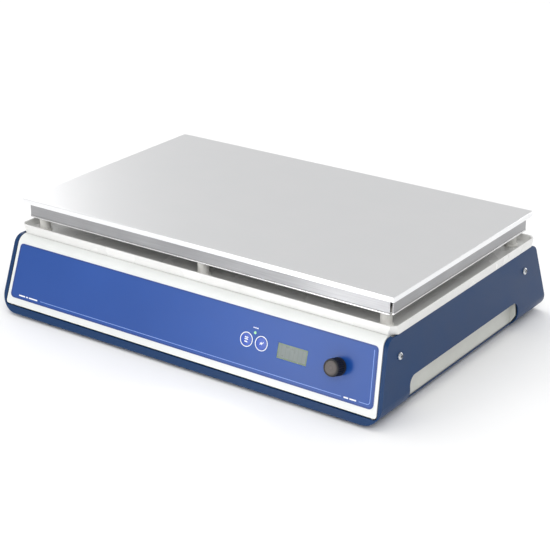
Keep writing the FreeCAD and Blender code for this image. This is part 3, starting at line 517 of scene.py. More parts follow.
def key_blue():
    """Blue polyester key: the overlay's film, domed over the switch."""
    return coated("Domed polyester key", "#1c46a6", "#214cae", (0.28, 0.34), 0.6, 0.01, patch=12.0,
                  Coat_Weight=0.3, Coat_Roughness=0.2)


def window_clear():
    """Acrylic window edge: cool, slightly green, with a soft gloss."""
    return coated("Acrylic window edge", "#6f8069", "#7b8c72", (0.2, 0.3), 3.0, 0.004, patch=15.0)


def lcd_glass():
    """Unlit reflective liquid-crystal cell: grey-green, with faint upright bands between its digits."""
    material, tree, shader, place = start_material("Liquid-crystal glass", Coat_Weight=0.1,
                                                   Coat_Roughness=0.2)
    cells = add(tree, "ShaderNodeTexWave", {"Vector": place, "Scale": wave_scale(5.24)})
    tint(tree, shader, cells.outputs[1], "#69726f", "#6f7876", 0.0, 0.15)
    sheen_range(tree, shader, noise(tree, place, 12.0), 0.25, 0.35)
    return material


def knob_black():
    """Moulded black nylon: fine spark-eroded texture that keeps its highlights dull."""
    return coated("Moulded black nylon", "#151518", "#1f1f23", (0.42, 0.55), 0.7, 0.03, patch=6.0)


def knob_grey():
    """Turned grey-brown cap: fine rings about the middle that turn the light in a cone."""
    material, tree, shader, place = start_material("Turned grey cap", Metallic=0.35)
    middle = Vector(next(j["pos_m"] for j in frame["joints"] if j["name"] == "knob_turn")) / MM
    local = add(tree, "ShaderNodeVectorMath", {0: place, 1: middle}, operation="SUBTRACT").outputs[0]
    rings = add(tree, "ShaderNodeTexWave", {
        "Vector": local, "Scale": wave_scale(0.628), "Distortion": 0.4, "Detail": 1.0},
        wave_type="RINGS", rings_direction="SPHERICAL")
    tint(tree, shader, rings.outputs[1], "#4a4543", "#57514f", 0.0, 1.0)
    sheen_range(tree, shader, rings.outputs[1], 0.34, 0.42)
    relief(tree, shader, rings.outputs[1], 0.02)
    return material


def black_plastic():
    """Moulded black thermoplastic of sockets and switches: satin with faint flow marks."""
    return coated("Moulded black thermoplastic", "#121214", "#1c1c1f", (0.34, 0.5), 0.9, 0.02, patch=9.0)


def ceramic_white():
    """Unglazed white steatite: dry, dense and faintly speckled."""
    return coated("Unglazed steatite", "#e9e7e1", "#f5f4f0", (0.42, 0.52), 0.8, 0.03, patch=7.0)


def rubber_black():
    """Moulded nitrile rubber: matt, with a dusty bloom on the edges."""
    return coated("Moulded nitrile rubber", "#17171a", "#2a2a2c", (0.7, 0.85), 0.9, 0.06, patch=5.0)


def bright_steel():
    """Zinc-plated steel: bright with a slightly blue, uneven plating."""
    return coated("Zinc-plated steel", "#bfc3c8", "#dadcdd", (0.2, 0.32), 1.2, 0.01, patch=5.0,
                  Metallic=1.0)


def element_steel():
    """Heat-tinted stainless sheath: straw and brown clouds along a dull tube."""
    return coated("Heat-tinted sheath", "#6b5a4b", "#8f867c", (0.35, 0.5), 1.5, 0.02, patch=18.0,
                  Metallic=1.0)


def brass():
    """Turned brass: warm, bright and lightly tarnished."""
    return coated("Turned brass", "#b08d48", "#c9a659", (0.24, 0.38), 0.8, 0.01, patch=4.0, Metallic=1.0)


def heat_sink_black():
    """Black-anodised extrusion: die lines along its length under a dyed film."""
    return brushed("Black-anodised extrusion", "#141416", "#222226", (0.35, 0.5), 0.6,
                   (1.0, 1.0, 0.03), 0.01)


def fibre_white():
    """Ceramic-fibre blanket: loose felted fibres with a dry, cloudy surface."""
    material, tree, shader, place = start_material("Ceramic-fibre blanket", Sheen_Weight=0.3)
    fibres = noise(tree, place, 2.5, 6.0, (1.0, 0.35, 1.0))
    tint(tree, shader, fibres, "#cfcbc1", "#efece4")
    sheen_range(tree, shader, fibres, 0.85, 0.98)
    relief(tree, shader, fibres, 0.5)
    return material


def board_green():
    """Glass-fibre board under green solder mask: copper tracks show as lighter lines."""
    material, tree, shader, place = start_material("Green solder mask", Coat_Weight=0.4,
                                                   Coat_Roughness=0.15)
    tracks = add(tree, "ShaderNodeTexBrick", {
        "Vector": place, "Scale": 1.0, "Brick Width": 14.0, "Row Height": 2.5, "Mortar Size": 0.25,
        "Color1": linear("#0d4a26"), "Color2": linear("#0f5229"), "Mortar": linear("#2c7a45")})
    tree.links.new(tracks.outputs[0], shader.inputs["Base Color"])
    sheen_range(tree, shader, noise(tree, place, 6.0), 0.25, 0.4)
    relief(tree, shader, tracks.outputs[1], 0.03)
    return material


def wire_red():
    """Silicone-insulated wire: soft, matt red."""
    return coated("Silicone insulation", "#86231a", "#9c2f24", (0.55, 0.7), 0.8, 0.03, patch=10.0)


def wire_brown():
    """Brown insulated mains wire: smooth extruded skin."""
    return coated("Extruded wire skin", "#4a2a17", "#5c3620", (0.35, 0.5), 0.8, 0.02, patch=10.0)


def fuse_glass():
    """Glass fuse tube with plated ends: clear, cool and glossy."""
    return coated("Fuse glass", "#c6d0d0", "#dfe7e7", (0.05, 0.12), 2.0, 0.003, patch=3.0,
                  Transmission_Weight=0.6, IOR=1.5)


def lamp_green():
    """Diffusing green light guide: pale, waxy and softly lit."""
    return coated("Diffusing light guide", "#8fcf96", "#a5dda6", (0.3, 0.4), 0.8, 0.01, patch=2.0,
                  Emission_Color=linear("#9fe39a"), Emission_Strength=0.1)


def relay_blue():
    """Moulded relay cover: glossy blue thermoset."""
    return coated("Moulded relay cover", "#1b3a86", "#234797", (0.2, 0.3), 1.0, 0.01, patch=8.0)


def core_steel():
    """Varnished laminated core: stacked sheets show as fine dark lines."""
    material, tree, shader, place = start_material("Varnished laminations", Metallic=0.6)
    sheets = add(tree, "ShaderNodeTexWave", {
        "Vector": place, "Scale": wave_scale(0.982), "Distortion": 0.3}, bands_direction="Y")
    tint(tree, shader, sheets.outputs[1], "#26262a", "#4a4a50", 0.2, 0.8)
    sheen_range(tree, shader, sheets.outputs[1], 0.35, 0.5)
    relief(tree, shader, sheets.outputs[1], 0.05)
    return material


def terminal_green():
    """Moulded terminal strip: satin green thermoplastic."""
    return coated("Moulded terminal strip", "#1f6b3a", "#278045", (0.35, 0.48), 0.9, 0.02, patch=8.0)


def cap_sleeve():
    """Heat-shrunk capacitor sleeve: thin, glossy and slightly wrinkled."""
    return coated("Heat-shrunk sleeve", "#151a33", "#1e2542", (0.2, 0.35), 1.8, 0.04, patch=5.0)


def floor_paint():
    """Matt white studio floor: even, with a trace of mottle."""
    return coated("Matt studio floor", "#f8f8f8", "#fcfcfc", (0.85, 0.95), 8.0, 0.02, patch=400.0)


MAKERS = {maker.__name__: maker for maker in (
    plate_aluminium, pan_steel, mill_steel, tray_enamel, case_white, case_blue, wall_grey, overlay_blue,
    overlay_edge_painted_shade, line_ink, ring_white, key_blue, window_clear, lcd_glass, knob_black, knob_grey,
    black_plastic, ceramic_white, rubber_black, bright_steel, element_steel, brass, heat_sink_black,
    fibre_white, board_green, wire_red, wire_brown, fuse_glass, lamp_green, relay_blue, core_steel,
    terminal_green, cap_sleeve, floor_paint)}
FINISHES = {}


def finish(name):
    """The material of a slot or ink, made on its first use."""
    if name not in FINISHES:
        FINISHES[name] = MAKERS[name]()
    return FINISHES[name]


# ---- properties ----------------------------------------------------------------------------------

def length(name, description, default):
    """A length property in metres."""
    return bpy.props.FloatProperty(name=name, description=description, default=default, min=0.0,
                                   subtype="DISTANCE", unit="LENGTH", precision=5)


def place_along(name, description, default):
    """A place along the case's depth, in metres from the origin."""
    return bpy.props.FloatProperty(name=name, description=description, default=default,
                                   unit="LENGTH", precision=5)


def power(name, description, default):
    """A light's power in watts."""
    return bpy.props.FloatProperty(name=name, description=description, default=default, min=0.0,
                                   unit="POWER")


def camera_angle(name, description, degrees):
    """An angle of the camera, kept in radians."""
    return bpy.props.FloatProperty(name=name, description=description, default=math.radians(degrees),
                                   subtype="ANGLE", unit="ROTATION")


def hex_colour(name, description, default):
    """A colour property kept as an sRGB hex value."""
    return bpy.props.StringProperty(name=name, description=description, default=default, maxlen=7)


class HotPlateSizes(bpy.types.PropertyGroup):
    """Sizes of edges, print and small parts."""
    plate_edge: length("Plate edge", "Radius of the heated plate's top edge", 0.6 * MM)
    rim_edge: length("Rim edge", "Radius of the spill tray's rim", 0.9 * MM)
    tray_fold: length("Tray fold", "Radius between the tray's wall and floor", 2.5 * MM)
    tray_flare: length("Tray flare", "How far the tray's wall leans out at its rim", 0.6 * MM)
    tray_cut_low: length("Low corner cut", "Size of the cut-off corner at the tray's base", 8.5 * MM)
    tray_cut_rim: length("Rim corner cut", "Size of the cut-off corner at the tray's rim", 5.5 * MM)
    pan_slit: length("Pan slit", "Width of the open corners between the pan's walls", 2.5 * MM)
    tongue_gap: length("Tongue gap", "Space from the shell's widest line to the end tongues", 3.4 * MM)
    tongue_depth: length("Tongue depth", "How far the end tongues reach out of the inner wall", 8.0 * MM)
    tongue_front: place_along("Front tongue", "Place of the hand hold's front tongue", -124.0 * MM)
    tongue_back: place_along("Back tongue", "Place of the hand hold's back tongue", 115.2 * MM)
    hem: length("Pan hem", "Height of the turned-out hem under the pan's walls", 1.8 * MM)
    line_width: length("Printed line", "Width of the panel's pale line", 0.7 * MM)
    line_inset: length("Line inset", "Distance of the pale line from the overlay's edge", 4.4 * MM)
    icon_width: length("Icon line", "Width of the lines in the keys' signs", 0.75 * MM)
    window_border: length("Window border", "Width of the display's pale border", 1.4 * MM)
    screw_recess: length("Screw recess", "Width of the cross recess in the screws", 1.5 * MM)
    side_lean: bpy.props.FloatProperty(
        name="Side lean", description="Slope of the case's sides, across per up", default=0.09,
        min=0.0, max=0.5)
    knob_ribs: bpy.props.IntProperty(
        name="Knob ribs", description="Number of ribs round the knob", default=24, min=6, max=60)


class HotPlateColours(bpy.types.PropertyGroup):
    """Colours of the main finishes."""
    plate: hex_colour("Plate", "Ground aluminium, lighter grain", "#f6f6f7")
    plate_dark: hex_colour("Plate grain", "Ground aluminium, darker grain", "#f3f4f5")
    case: hex_colour("Case", "White coat", "#e6e8e6")
    case_shade: hex_colour("Case clouds", "White coat, darker clouds", "#e1e3e1")
    shell: hex_colour("Shell", "Dark blue coat", "#083562")
    shell_shade: hex_colour("Shell clouds", "Dark blue coat, darker clouds", "#06315c")
    overlay: hex_colour("Overlay", "Overlay's blue", "#0f4798")
    overlay_deep: hex_colour("Overlay clouds", "Overlay's blue, deeper clouds", "#0d4493")


class HotPlateStudio(bpy.types.PropertyGroup):
    """Camera and lights."""
    azimuth: camera_angle("Azimuth", "Camera's turn to the right of the front", 35.449)
    elevation: camera_angle("Elevation", "Camera's height angle", 22.657)
    roll: camera_angle("Roll", "Camera's turn about its view", -0.114)
    distance: length("Distance", "From the camera to the point it looks at", 1.7778)
    lens: bpy.props.FloatProperty(
        name="Lens", description="Focal length on a 36 mm wide sensor, in millimetres", default=102.2,
        min=1.0)
    aim: bpy.props.FloatVectorProperty(
        name="Aim", description="The point that the camera looks at", default=(0.0178, -0.0207, 0.0578),
        subtype="TRANSLATION", unit="LENGTH")
    sky: bpy.props.FloatProperty(name="Sky", description="Brightness of the room", default=0.69, min=0.0)
    key_power: power("Overhead light", "Power of the overhead softbox", 18.0)
    card_power: power("Front card", "Power of the card at the front left", 5.0)
    fill_power: power("Fill light", "Power of the light by the camera", 11.0)
    pool_power: power("Floor pool", "Power of the spot on the floor in front", 240.0)
    back_power: power("Back cards", "Power of each card behind the object", 7.0)


# The area lights: place, width and height, the power's property, and whether shiny surfaces show it
AREA_LIGHTS = {
    "Overhead": ((-0.5, 0.3, 2.2), (2.4, 2.4), "key_power", False),
    "Front card": ((-0.65, -1.7, 0.4), (0.5, 0.8), "card_power", True),
    "Fill": ((0.98, -1.37, 1.41), (0.9, 0.9), "fill_power", False),
    "Back left card": ((-2.25, 1.0, 1.0), (1.4, 1.3), "back_power", True),
    "Back right card": ((0.55, 2.1, 0.5), (1.0, 1.0), "back_power", True),
}
LIGHTS_AIM = Vector((0.0, 0.0, 0.1))
POOL_PLACE = Vector((0.1, -0.9, 1.5))
POOL_AIM = Vector((0.085, -0.38, 0.0))


# ---- operators -----------------------------------------------------------------------------------

class HOTPLATE_OT_heated_plate(bpy.types.Operator):
    """Makes the heated plate: a ground slab with eased edges"""
    bl_idname = "hotplate.heated_plate"
    bl_label = "Heated plate"

    def execute(self, context):
        sizes = context.scene.hot_plate_sizes
        low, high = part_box("top_plate")
        shape = bmesh.new()
        stacked(shape, rectangle(low.x, high.x, low.y, high.y), 1.5 * MM,
                eased_slab(low.z, high.z, 0.3 * MM, sizes.plate_edge, 2.0 * MM))
        made_piece(shape, "heated_plate", "case", "plate_aluminium", ["top_plate"])
        return {"FINISHED"}


class HOTPLATE_OT_heater_pan(bpy.types.Operator):
    """Makes the folded pan under the plate: four walls with hems, open slits at the corners, and a floor"""
    bl_idname = "hotplate.heater_pan"
    bl_label = "Heater pan"

    def execute(self, context):
        sizes = context.scene.hot_plate_sizes
        low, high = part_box("heater_pan")
        sheet = 1.2 * MM
        slit = sizes.pan_slit
        proud = 0.9 * MM
        centre = (low + high) / 2
        half = (high - low) / 2
        fold = 0.4 * MM
        lip = sheet + proud
        crease = low.z + sizes.hem
        wall = [(0.0, crease + 0.1 * MM), (sheet, crease + 0.1 * MM), (sheet, high.z), (0.0, high.z)]
        hem = ([(0.0, low.z), (lip - fold, low.z)] + arc(lip - fold, low.z + fold, fold, 270, 360)
               + arc(lip - 2 * fold, crease - 2 * fold, 2 * fold, 0, 90) + [(0.0, crease)])
        for name, profile, ink in (("folded_pan", wall, "pan_steel"), ("pan_hem", hem, "mill_steel")):
            shape = bmesh.new()
            for turn in range(4):
                reach, run = (half.y, half.x) if turn % 2 == 0 else (half.x, half.y)
                ends = [[Vector((x, lip - reach - out, z)) for out, z in profile]
                        for x in (proud + slit - run, run - proud - slit)]
                quarters = Matrix.Rotation(turn * math.pi / 2, 4, "Z")
                spin = Matrix.Translation((centre.x, centre.y, 0)) @ quarters
                loft(shape, [[spin @ point for point in end] for end in ends])
            made_piece(shape, name, "case", "pan_steel", ["heater_pan"], ink)
        margin = lip + slit
        shape = bmesh.new()
        floor = rectangle(low.x + margin, high.x - margin, low.y + margin, high.y - margin)
        stacked(shape, floor, 1.0 * MM, eased_slab(low.z, low.z + sheet, 0.1 * MM, 0.1 * MM, 1.0 * MM))
        made_piece(shape, "pan_floor", "case", "pan_steel", ["heater_pan"], "mill_steel")
        return {"FINISHED"}


class HOTPLATE_OT_spill_tray(bpy.types.Operator):
    """Makes the spill tray: cut-off corners, a rounded rim and a coved floor"""
    bl_idname = "hotplate.spill_tray"
    bl_label = "Spill tray"

    def cut_rectangle(self, low, high, grow, cut):
        """Corners of a rectangle grown on all sides, with its corners cut off."""
        x0, x1, y0, y1 = low.x - grow, high.x + grow, low.y - grow, high.y + grow
        return [Vector(point) for point in ((x0 + cut, y0), (x1 - cut, y0), (x1, y0 + cut), (x1, y1 - cut),
                                            (x1 - cut, y1), (x0 + cut, y1), (x0, y1 - cut), (x0, y0 + cut))]

    def execute(self, context):
        sizes = context.scene.hot_plate_sizes
        low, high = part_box("spill_tray")
        edge = sizes.rim_edge
        floor = low.z + 1.5 * MM
        fold = sizes.tray_fold
        foot = 1.0 * MM
        cove = 2 * edge + fold
        profile = ([(4 * foot, low.z)] + arc(foot, low.z + foot, foot, 270, 180)
                   + arc(edge, high.z - edge, edge, 180, 0, 8)
                   + arc(cove, floor + fold, fold, 180, 270) + [(cove + 3 * MM, floor)])
        rings = []
        for inset, height in profile:
            rise = (height - low.z) / (high.z - low.z)
            cut = sizes.tray_cut_low + (sizes.tray_cut_rim - sizes.tray_cut_low) * rise
            outline = self.cut_rectangle(low, high, sizes.tray_flare * rise, cut)
            ring = rounded_outline(inset_outline(outline, inset), 0.8 * MM)
            rings.append([Vector((point.x, point.y, height)) for point in ring])
        shape = bmesh.new()
        loft(shape, rings)
        made_piece(shape, "spill_tray_sheet", "case", "tray_enamel", ["spill_tray"])
        return {"FINISHED"}


class HOTPLATE_OT_pillars(bpy.types.Operator):
    """Makes the six turned pillars between tray and pan with one shape repeated in rows"""
    bl_idname = "hotplate.pillars"
    bl_label = "Pillars"

    def execute(self, context):
        low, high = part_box("support_pillars")
        base = 8.0 * MM
        body = 6.25 * MM
        foot = 1.6 * MM
        edge = 0.5 * MM
        tall = high.z - low.z
        profile = ([(0.0, 0.0)] + arc(base - edge, edge, edge, 270, 360)
                   + arc(base - edge, foot - edge, edge, 0, 90) + [(body, foot + 0.2 * MM)]
                   + arc(body - edge, tall - edge, edge, 0, 90) + [(0.0, tall)])
        shape = bmesh.new()
        turned(shape, profile)
        step_x = (high.x - low.x) / 2 - base
        step_y = high.y - low.y - 2 * base
        mesh = grown(finished_mesh(shape, "pillar"), rows_tree(), {
            "Columns": 3, "Rows": 2, "Column step": (step_x, 0, 0), "Row step": (0, step_y, 0),
            "First place": (low.x + base, low.y + base, low.z), "Material": finish("ceramic_white")})
        piece("pillars", mesh, "case", "ceramic_white", ["support_pillars"])
        return {"FINISHED"}


class HOTPLATE_OT_case(bpy.types.Operator):
    """Finishes the folded case: the white wrap, the blue shell and the inner end walls"""
    bl_idname = "hotplate.case"
    bl_label = "Case"

    def execute(self, context):
        refined("chassis_wrap", "case_white")
        refined("base_shell", "case_blue")
        for hand, side in (("right", 1), ("left", -1)):
            refined("end_wall_" + hand, "wall_grey")
            self.returns(hand, side)
        return {"FINISHED"}

    def returns(self, hand, side):
        """Folded tongues of an inner wall that close the ends of the hand hold behind the shell."""
        sizes = bpy.context.scene.hot_plate_sizes
        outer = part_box("base_shell")[1].x - sizes.tongue_gap
        face = outer - sizes.tongue_depth
        foot, bend, top = 9.0 * MM, 19.0 * MM, 37.0 * MM
        corners = [Vector((face, foot)), Vector((face + 2.0 * MM, foot)), Vector((outer, bend)),
                   Vector((outer - sizes.side_lean * (top - bend), top)), Vector((face, top))]
        shape = bmesh.new()
        for y in (sizes.tongue_front, sizes.tongue_back):
            rings = []
            for inset, depth in eased_slab(y, y + 1.2 * MM, 0.15 * MM, 0.15 * MM, 0.3 * MM):
                ring = inset_outline(corners, inset)
                rings.append([Vector((side * point.x, depth, point.y)) for point in ring])
            loft(shape, rings)
        made_piece(shape, "hand_hold_tongues_" + hand, "case", "wall_grey")


class HOTPLATE_OT_screws(bpy.types.Operator):
    """Makes the case's pan-head screws with cross recesses, repeated in rows"""
    bl_idname = "hotplate.screws"
    bl_label = "Screws"

    def head_mesh(self, sizes):
        """One domed screw head with its cross recess, standing on the origin."""
        dome = [(SCREW_HEAD * math.cos(turn), SCREW_RISE * (0.35 + 0.65 * math.sin(turn)))
                for turn in (math.radians(9 * i) for i in range(10))]
        shape = bmesh.new()
        turned(shape, [(0.0, 0.0), (SCREW_HEAD, 0.0)] + dome + [(0.0, SCREW_RISE)], 32)
        recess = sizes.screw_recess
        return grown(finished_mesh(shape, "screw_head"), cross_recess_tree(), {
            "Wing": (SCREW_WING, recess, SCREW_RISE), "Other wing": (recess, SCREW_WING, SCREW_RISE),
            "Place": (0, 0, SCREW_RISE * 0.65), "Material": finish("bright_steel")})

    def side_heads(self, head, hand, sign, lean):
        """The two heads on one leaning side of the case."""
        node = "side_screws_" + hand
        low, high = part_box(node)
        out = Vector((sign * math.cos(lean), 0, math.sin(lean)))
        seat = span(node, out)[1] - SCREW_RISE
        middle = (low.z + high.z) / 2
        across = sign * (seat - middle * math.sin(lean)) / math.cos(lean)
        mesh = grown(head.copy(), rows_tree(), {
            "Columns": 2, "Rows": 1, "Column step": (0, high.y - low.y - 2 * SCREW_HEAD, 0),
            "Row step": (0, 0, 0), "First place": (across, low.y + SCREW_HEAD, middle),
            "Turn": out.to_track_quat("Z", "Y").to_euler(), "Material": finish("bright_steel")})
        piece("side_screw_heads_" + hand, mesh, "case", "bright_steel", [node])

    def base_heads(self, head):
        """The six heads under the case, turned to face down."""
        low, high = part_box("base_screws")
        mesh = grown(head.copy(), rows_tree(), {
            "Columns": 2, "Rows": 3, "Column step": (high.x - low.x - 2 * SCREW_HEAD, 0, 0),
            "Row step": (0, (high.y - low.y) / 2 - SCREW_HEAD, 0),
            "First place": (low.x + SCREW_HEAD, low.y + SCREW_HEAD, low.z + SCREW_RISE),
            "Turn": (math.pi, 0, 0), "Material": finish("bright_steel")})
        piece("base_screw_heads", mesh, "case", "bright_steel", ["base_screws"])

    def execute(self, context):
        sizes = context.scene.hot_plate_sizes
        head = self.head_mesh(sizes)
        lean = math.atan(sizes.side_lean)
        for hand, sign in (("right", 1), ("left", -1)):
            self.side_heads(head, hand, sign, lean)
        self.base_heads(head)
        return {"FINISHED"}


class HOTPLATE_OT_overlay(bpy.types.Operator):
    """Finishes the overlay: the blue film, a darker line of painted shade just inside its edge, and the pale
    printed line
    """
    bl_idname = "hotplate.overlay"
    bl_label = "Overlay"

    def printed(self, shape, name, ink):
        """Turns flat print, or the overlay's painted edge shade, onto the wall as a piece in its ink or shade
        material.
        """
        made_piece(shape, name, "case", "ring_white", ink=ink, place=FRONT_WALL)

    def pale_line(self, sizes, face, low, half, upright_top):
        """The pale line along the panel's foot and up its right end, broken beside the plain marks."""
        right = half - sizes.line_inset
        turn = 3.0 * MM
        corner = circle_points(Vector((right - turn, low + turn)), turn, 270, 360, 8)
        shape = bmesh.new()
        for points in ([Vector((LINE_START - half, low)), Vector((half - LINE_STOP, low))],
                       [Vector((half - LINE_RESUME, low))] + corner + [upright_top]):
            stroke(shape, points, sizes.line_width, face, face + INK)
        self.printed(shape, "panel_line", "line_ink")

    def marks(self, face, low, half):
        """Plain bars in the line's gaps."""
        shape = bmesh.new()
        for end, bars in ((-half, LEFT_MARKS), (half, RIGHT_MARKS)):
            for start, run in bars:
                ends = [Vector((end + start, low)), Vector((end + start + run, low))]
                stroke(shape, ends, MARK_WIDTH, face, face + INK)
        self.printed(shape, "plain_marks", "ring_white")

    def border(self, face, bottom, top, half, lean):
        """A darker line just inside the overlay's edge: painted shade along the film's cut edge."""
        high = top - bottom
        outline = [Vector((-half, bottom)), Vector((half, bottom)), Vector((half - lean * high, top)),
                   Vector((lean * high - half, top))]
        ring = rounded_outline(inset_outline(outline, 0.9 * MM), 4.2 * MM, 8)
        shape = bmesh.new()
        stroke(shape, ring + ring[:1], 0.8 * MM, face, face + 0.5 * INK)
        # The dark stroke is painted shade, standing for the shade along the overlay's edge.
        self.printed(shape, "overlay_border", "overlay_edge_painted_shade")

    def execute(self, context):
        sizes = context.scene.hot_plate_sizes
        refined("front_overlay", "overlay_blue", edge=0.0)
        face = panel_face()
        bottom, top = span("front_overlay", FRONT_UP)
        half = span("front_overlay", ALONG)[1]
        lean = sizes.side_lean * FRONT_UP.z
        inset = sizes.line_inset
        low = bottom + inset
        upright_top = Vector((half - inset - lean * (top - inset - low), top - inset))
        self.pale_line(sizes, face, low, half, upright_top)
        self.marks(face, low, half)
        self.border(face, bottom, top, half, lean)
        return {"FINISHED"}


class HOTPLATE_OT_keys(bpy.types.Operator):
    """Makes the keys' white rings, their signs and the marks by the lamp"""
    bl_idname = "hotplate.keys"
    bl_label = "Keys"

    def rings(self, face):
        """Raised white rings round the keys."""
        low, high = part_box("key_rings")
        bottom, top = span("key_rings", FRONT_UP)
        outer = (top - bottom) / 2
        inner = outer - 0.9 * MM
        rise = 0.25 * MM
        edge = 0.1 * MM
        profile = ([(inner, 0.0), (outer, 0.0)] + arc(outer - edge, rise - edge, edge, 0, 90, 2)
                   + arc(inner + edge, rise - edge, edge, 90, 180, 2))
        shape = bmesh.new()
        turned(shape, profile, 64, closed=True)
        spot = wall_spot("key_rings")
        reach = (high.x - low.x) / 2 - outer
        first = FRONT_WALL @ Vector((spot[0] - reach, spot[1], face))
        mesh = grown(finished_mesh(shape, "key_ring"), rows_tree(), {
            "Columns": 2, "Rows": 1, "Column step": (2 * reach, 0, 0), "Row step": (0, 0, 0),
            "First place": first, "Turn": FRONT_WALL.to_euler(), "Material": finish("ring_white")})
        piece("key_ring_pair", mesh, "case", "ring_white", ["key_rings"])

    def heat_sign(self, spot):
        """Strokes of two stacked waves over a heavy bar."""
        lines = [[spot + Vector((x + lean, y)) * MM for x in (-1.75, 1.75)]
                 for y, lean in ((-2.6, 0.15), (-2.0, -0.15))]
        for height in (0.4, 2.4):
            lines.append([spot + Vector((x * 0.3, height + 0.5 * math.sin(x))) * MM for x in range(-7, 8)])
        return lines

    def star_sign(self, spot):
        """Strokes of a small star with one long arm."""
        arms = ((210, 2.2), (30, 3.4), (90, 1.7), (330, 1.7), (150, 1.7))
        return [[spot, circle_points(spot, reach * MM, turn, turn, 1)[0]] for turn, reach in arms]

    def execute(self, context):
        sizes = context.scene.hot_plate_sizes
        face = panel_face()
        self.rings(face)
        for node, body, sign in (("key_left", "left_key", self.heat_sign),
                                 ("key_right", "right_key", self.star_sign)):
            refined(node, "key_blue", body, 0.08 * MM)
            top = span(node, FRONT_OUT)[1]
            shape = bmesh.new()
            for line in sign(Vector(wall_spot(node))):
                stroke(shape, line, sizes.icon_width, top, top + KEY_INK)
            made_piece(shape, node + "_sign", body, "ring_white", place=FRONT_WALL)
        lamp = Vector(wall_spot("status_lamp"))
        shape = bmesh.new()
        for start, end in ((-3.2, -1.6), (-1.0, 0.8), (1.4, 3.2)):
            ends = [lamp + Vector((x, 5.2)) * MM for x in (start, end)]
            stroke(shape, ends, 1.1 * MM, face, face + KEY_INK)
        made_piece(shape, "lamp_mark", "case", "ring_white", place=FRONT_WALL)
        return {"FINISHED"}


class HOTPLATE_OT_display(bpy.types.Operator):
    """Makes the display: a pale window border round an unlit liquid-crystal cell"""
    bl_idname = "hotplate.display"
    bl_label = "Display"

    def execute(self, context):
        sizes = context.scene.hot_plate_sizes
        left, right = span("display_window", ALONG)
        bottom, top = span("display_window", FRONT_UP)
        back, face = span("display_window", FRONT_OUT)
        border = sizes.window_border
        edge = 0.2 * MM
        outline = rectangle(left, right, bottom, top)
        profile = ([(0.0, back)] + arc(edge, face - edge, edge, 180, 90, 3)
                   + [(border - edge, face), (border, face - edge), (border, back)])
        shape = bmesh.new()
        stacked(shape, outline, 1.2 * MM, profile, 0.2 * MM, closed=True)
        made_piece(shape, "window_border", "case", "window_clear", ["display_window"], place=FRONT_WALL)
        shape = bmesh.new()
        stacked(shape, inset_outline(outline, border), 0.2 * MM,
                eased_slab(back, face - 0.1 * MM, 0.05 * MM, 0.1 * MM, 0.5 * MM))
        made_piece(shape, "display_cell", "case", "lcd_glass", place=FRONT_WALL)
        return {"FINISHED"}


class HOTPLATE_OT_knob(bpy.types.Operator):
    """Makes the ribbed knob and its turned cap"""
    bl_idname = "hotplate.knob"
    bl_label = "Knob"

    def core_object(self, context, outer, tall, skirt, core, dish):
        """The knob's turned core: a skirt, a waist for the ribs, and a nose with a shallow dish."""
        edge = 0.3 * MM
        nose = outer - 0.6 * MM
        lip = 0.7 * MM
        floor = tall - 0.35 * MM
        profile = ([(0.0, 0.0)] + arc(outer - edge, edge, edge, 270, 360, 3)
                   + arc(outer - edge, skirt, edge, 0, 90, 3)
                   + [(core, skirt + 0.4 * MM), (core, tall - 2.2 * MM), (nose - 0.1 * MM, tall - 1.6 * MM)]
                   + arc(nose - lip, tall - lip, lip, 0, 90, 4)
                   + [(dish, tall), (dish - 0.15 * MM, floor), (0.0, floor)])
        shape = bmesh.new()
        turned(shape, profile, 96)
        made = bpy.data.objects.new("knob_core", finished_mesh(shape, "knob_core"))
        context.scene.collection.objects.link(made)
        return made

    def rib_mesh(self, low, high):
        """One round-ended rib, standing on the axis."""
        reach = 0.85 * MM
        shape = bmesh.new()
        turned(shape, [(0.0, low)] + arc(0.0, low + reach, reach, 300, 360, 3)
               + arc(0.0, high - reach, reach, 0, 60, 3) + [(0.0, high)], 10)
        return finished_mesh(shape, "knob_rib")

    def cap(self, spot, dish):
        """The turned cap that fills the nose's dish."""
        low = span("knob_insert", FRONT_OUT)[0]
        shape = bmesh.new()
        turned(shape, [(0.0, low), (dish - 0.2 * MM, low)]
               + arc(dish - 0.4 * MM, low + 0.15 * MM, 0.2 * MM, 0, 90, 3)
               + [(dish * 0.6, low + 0.3 * MM), (dish * 0.2, low + 0.25 * MM), (0.0, low + 0.24 * MM)], 64)
        made_piece(shape, "knob_cap", "knob", "knob_grey", ["knob_insert"],
                   place=FRONT_WALL @ Matrix.Translation((*spot, 0)))

    def execute(self, context):
        sizes = context.scene.hot_plate_sizes
        spot = wall_spot("control_knob")
        back, face = span("control_knob", FRONT_OUT)
        left, right = span("control_knob", ALONG)
        outer = (right - left) / 2
        tall = face - back
        skirt = 1.4 * MM
        core = outer - 1.0 * MM
        dish = outer - 2.2 * MM
        middle = self.core_object(context, outer, tall, skirt, core, dish)
        rib = self.rib_mesh(skirt - 0.1 * MM, tall - 1.5 * MM)
        mesh = grown(rib, ring_tree(), {
            "Count": sizes.knob_ribs, "Radius": core + 0.05 * MM, "Core": middle,
            "Material": finish("knob_black")})
        bpy.data.objects.remove(middle)
        mesh.transform(FRONT_WALL @ Matrix.Translation((*spot, back)))
        piece("ribbed_knob", mesh, "knob", "knob_black", ["control_knob"])
        self.cap(spot, dish)
        return {"FINISHED"}


class HOTPLATE_OT_rear_services(bpy.types.Operator):
    """Finishes the rear services: the mains inlet, its fuse drawer and the rocker switch"""
    bl_idname = "hotplate.rear_services"
    bl_label = "Rear services"

    def execute(self, context):
        refined("mains_inlet", "black_plastic")
        refined("switch_housing", "black_plastic")
        refined("switch_rocker", "black_plastic", "rocker")
        refined("fuse_drawer", "black_plastic", "drawer")
        return {"FINISHED"}


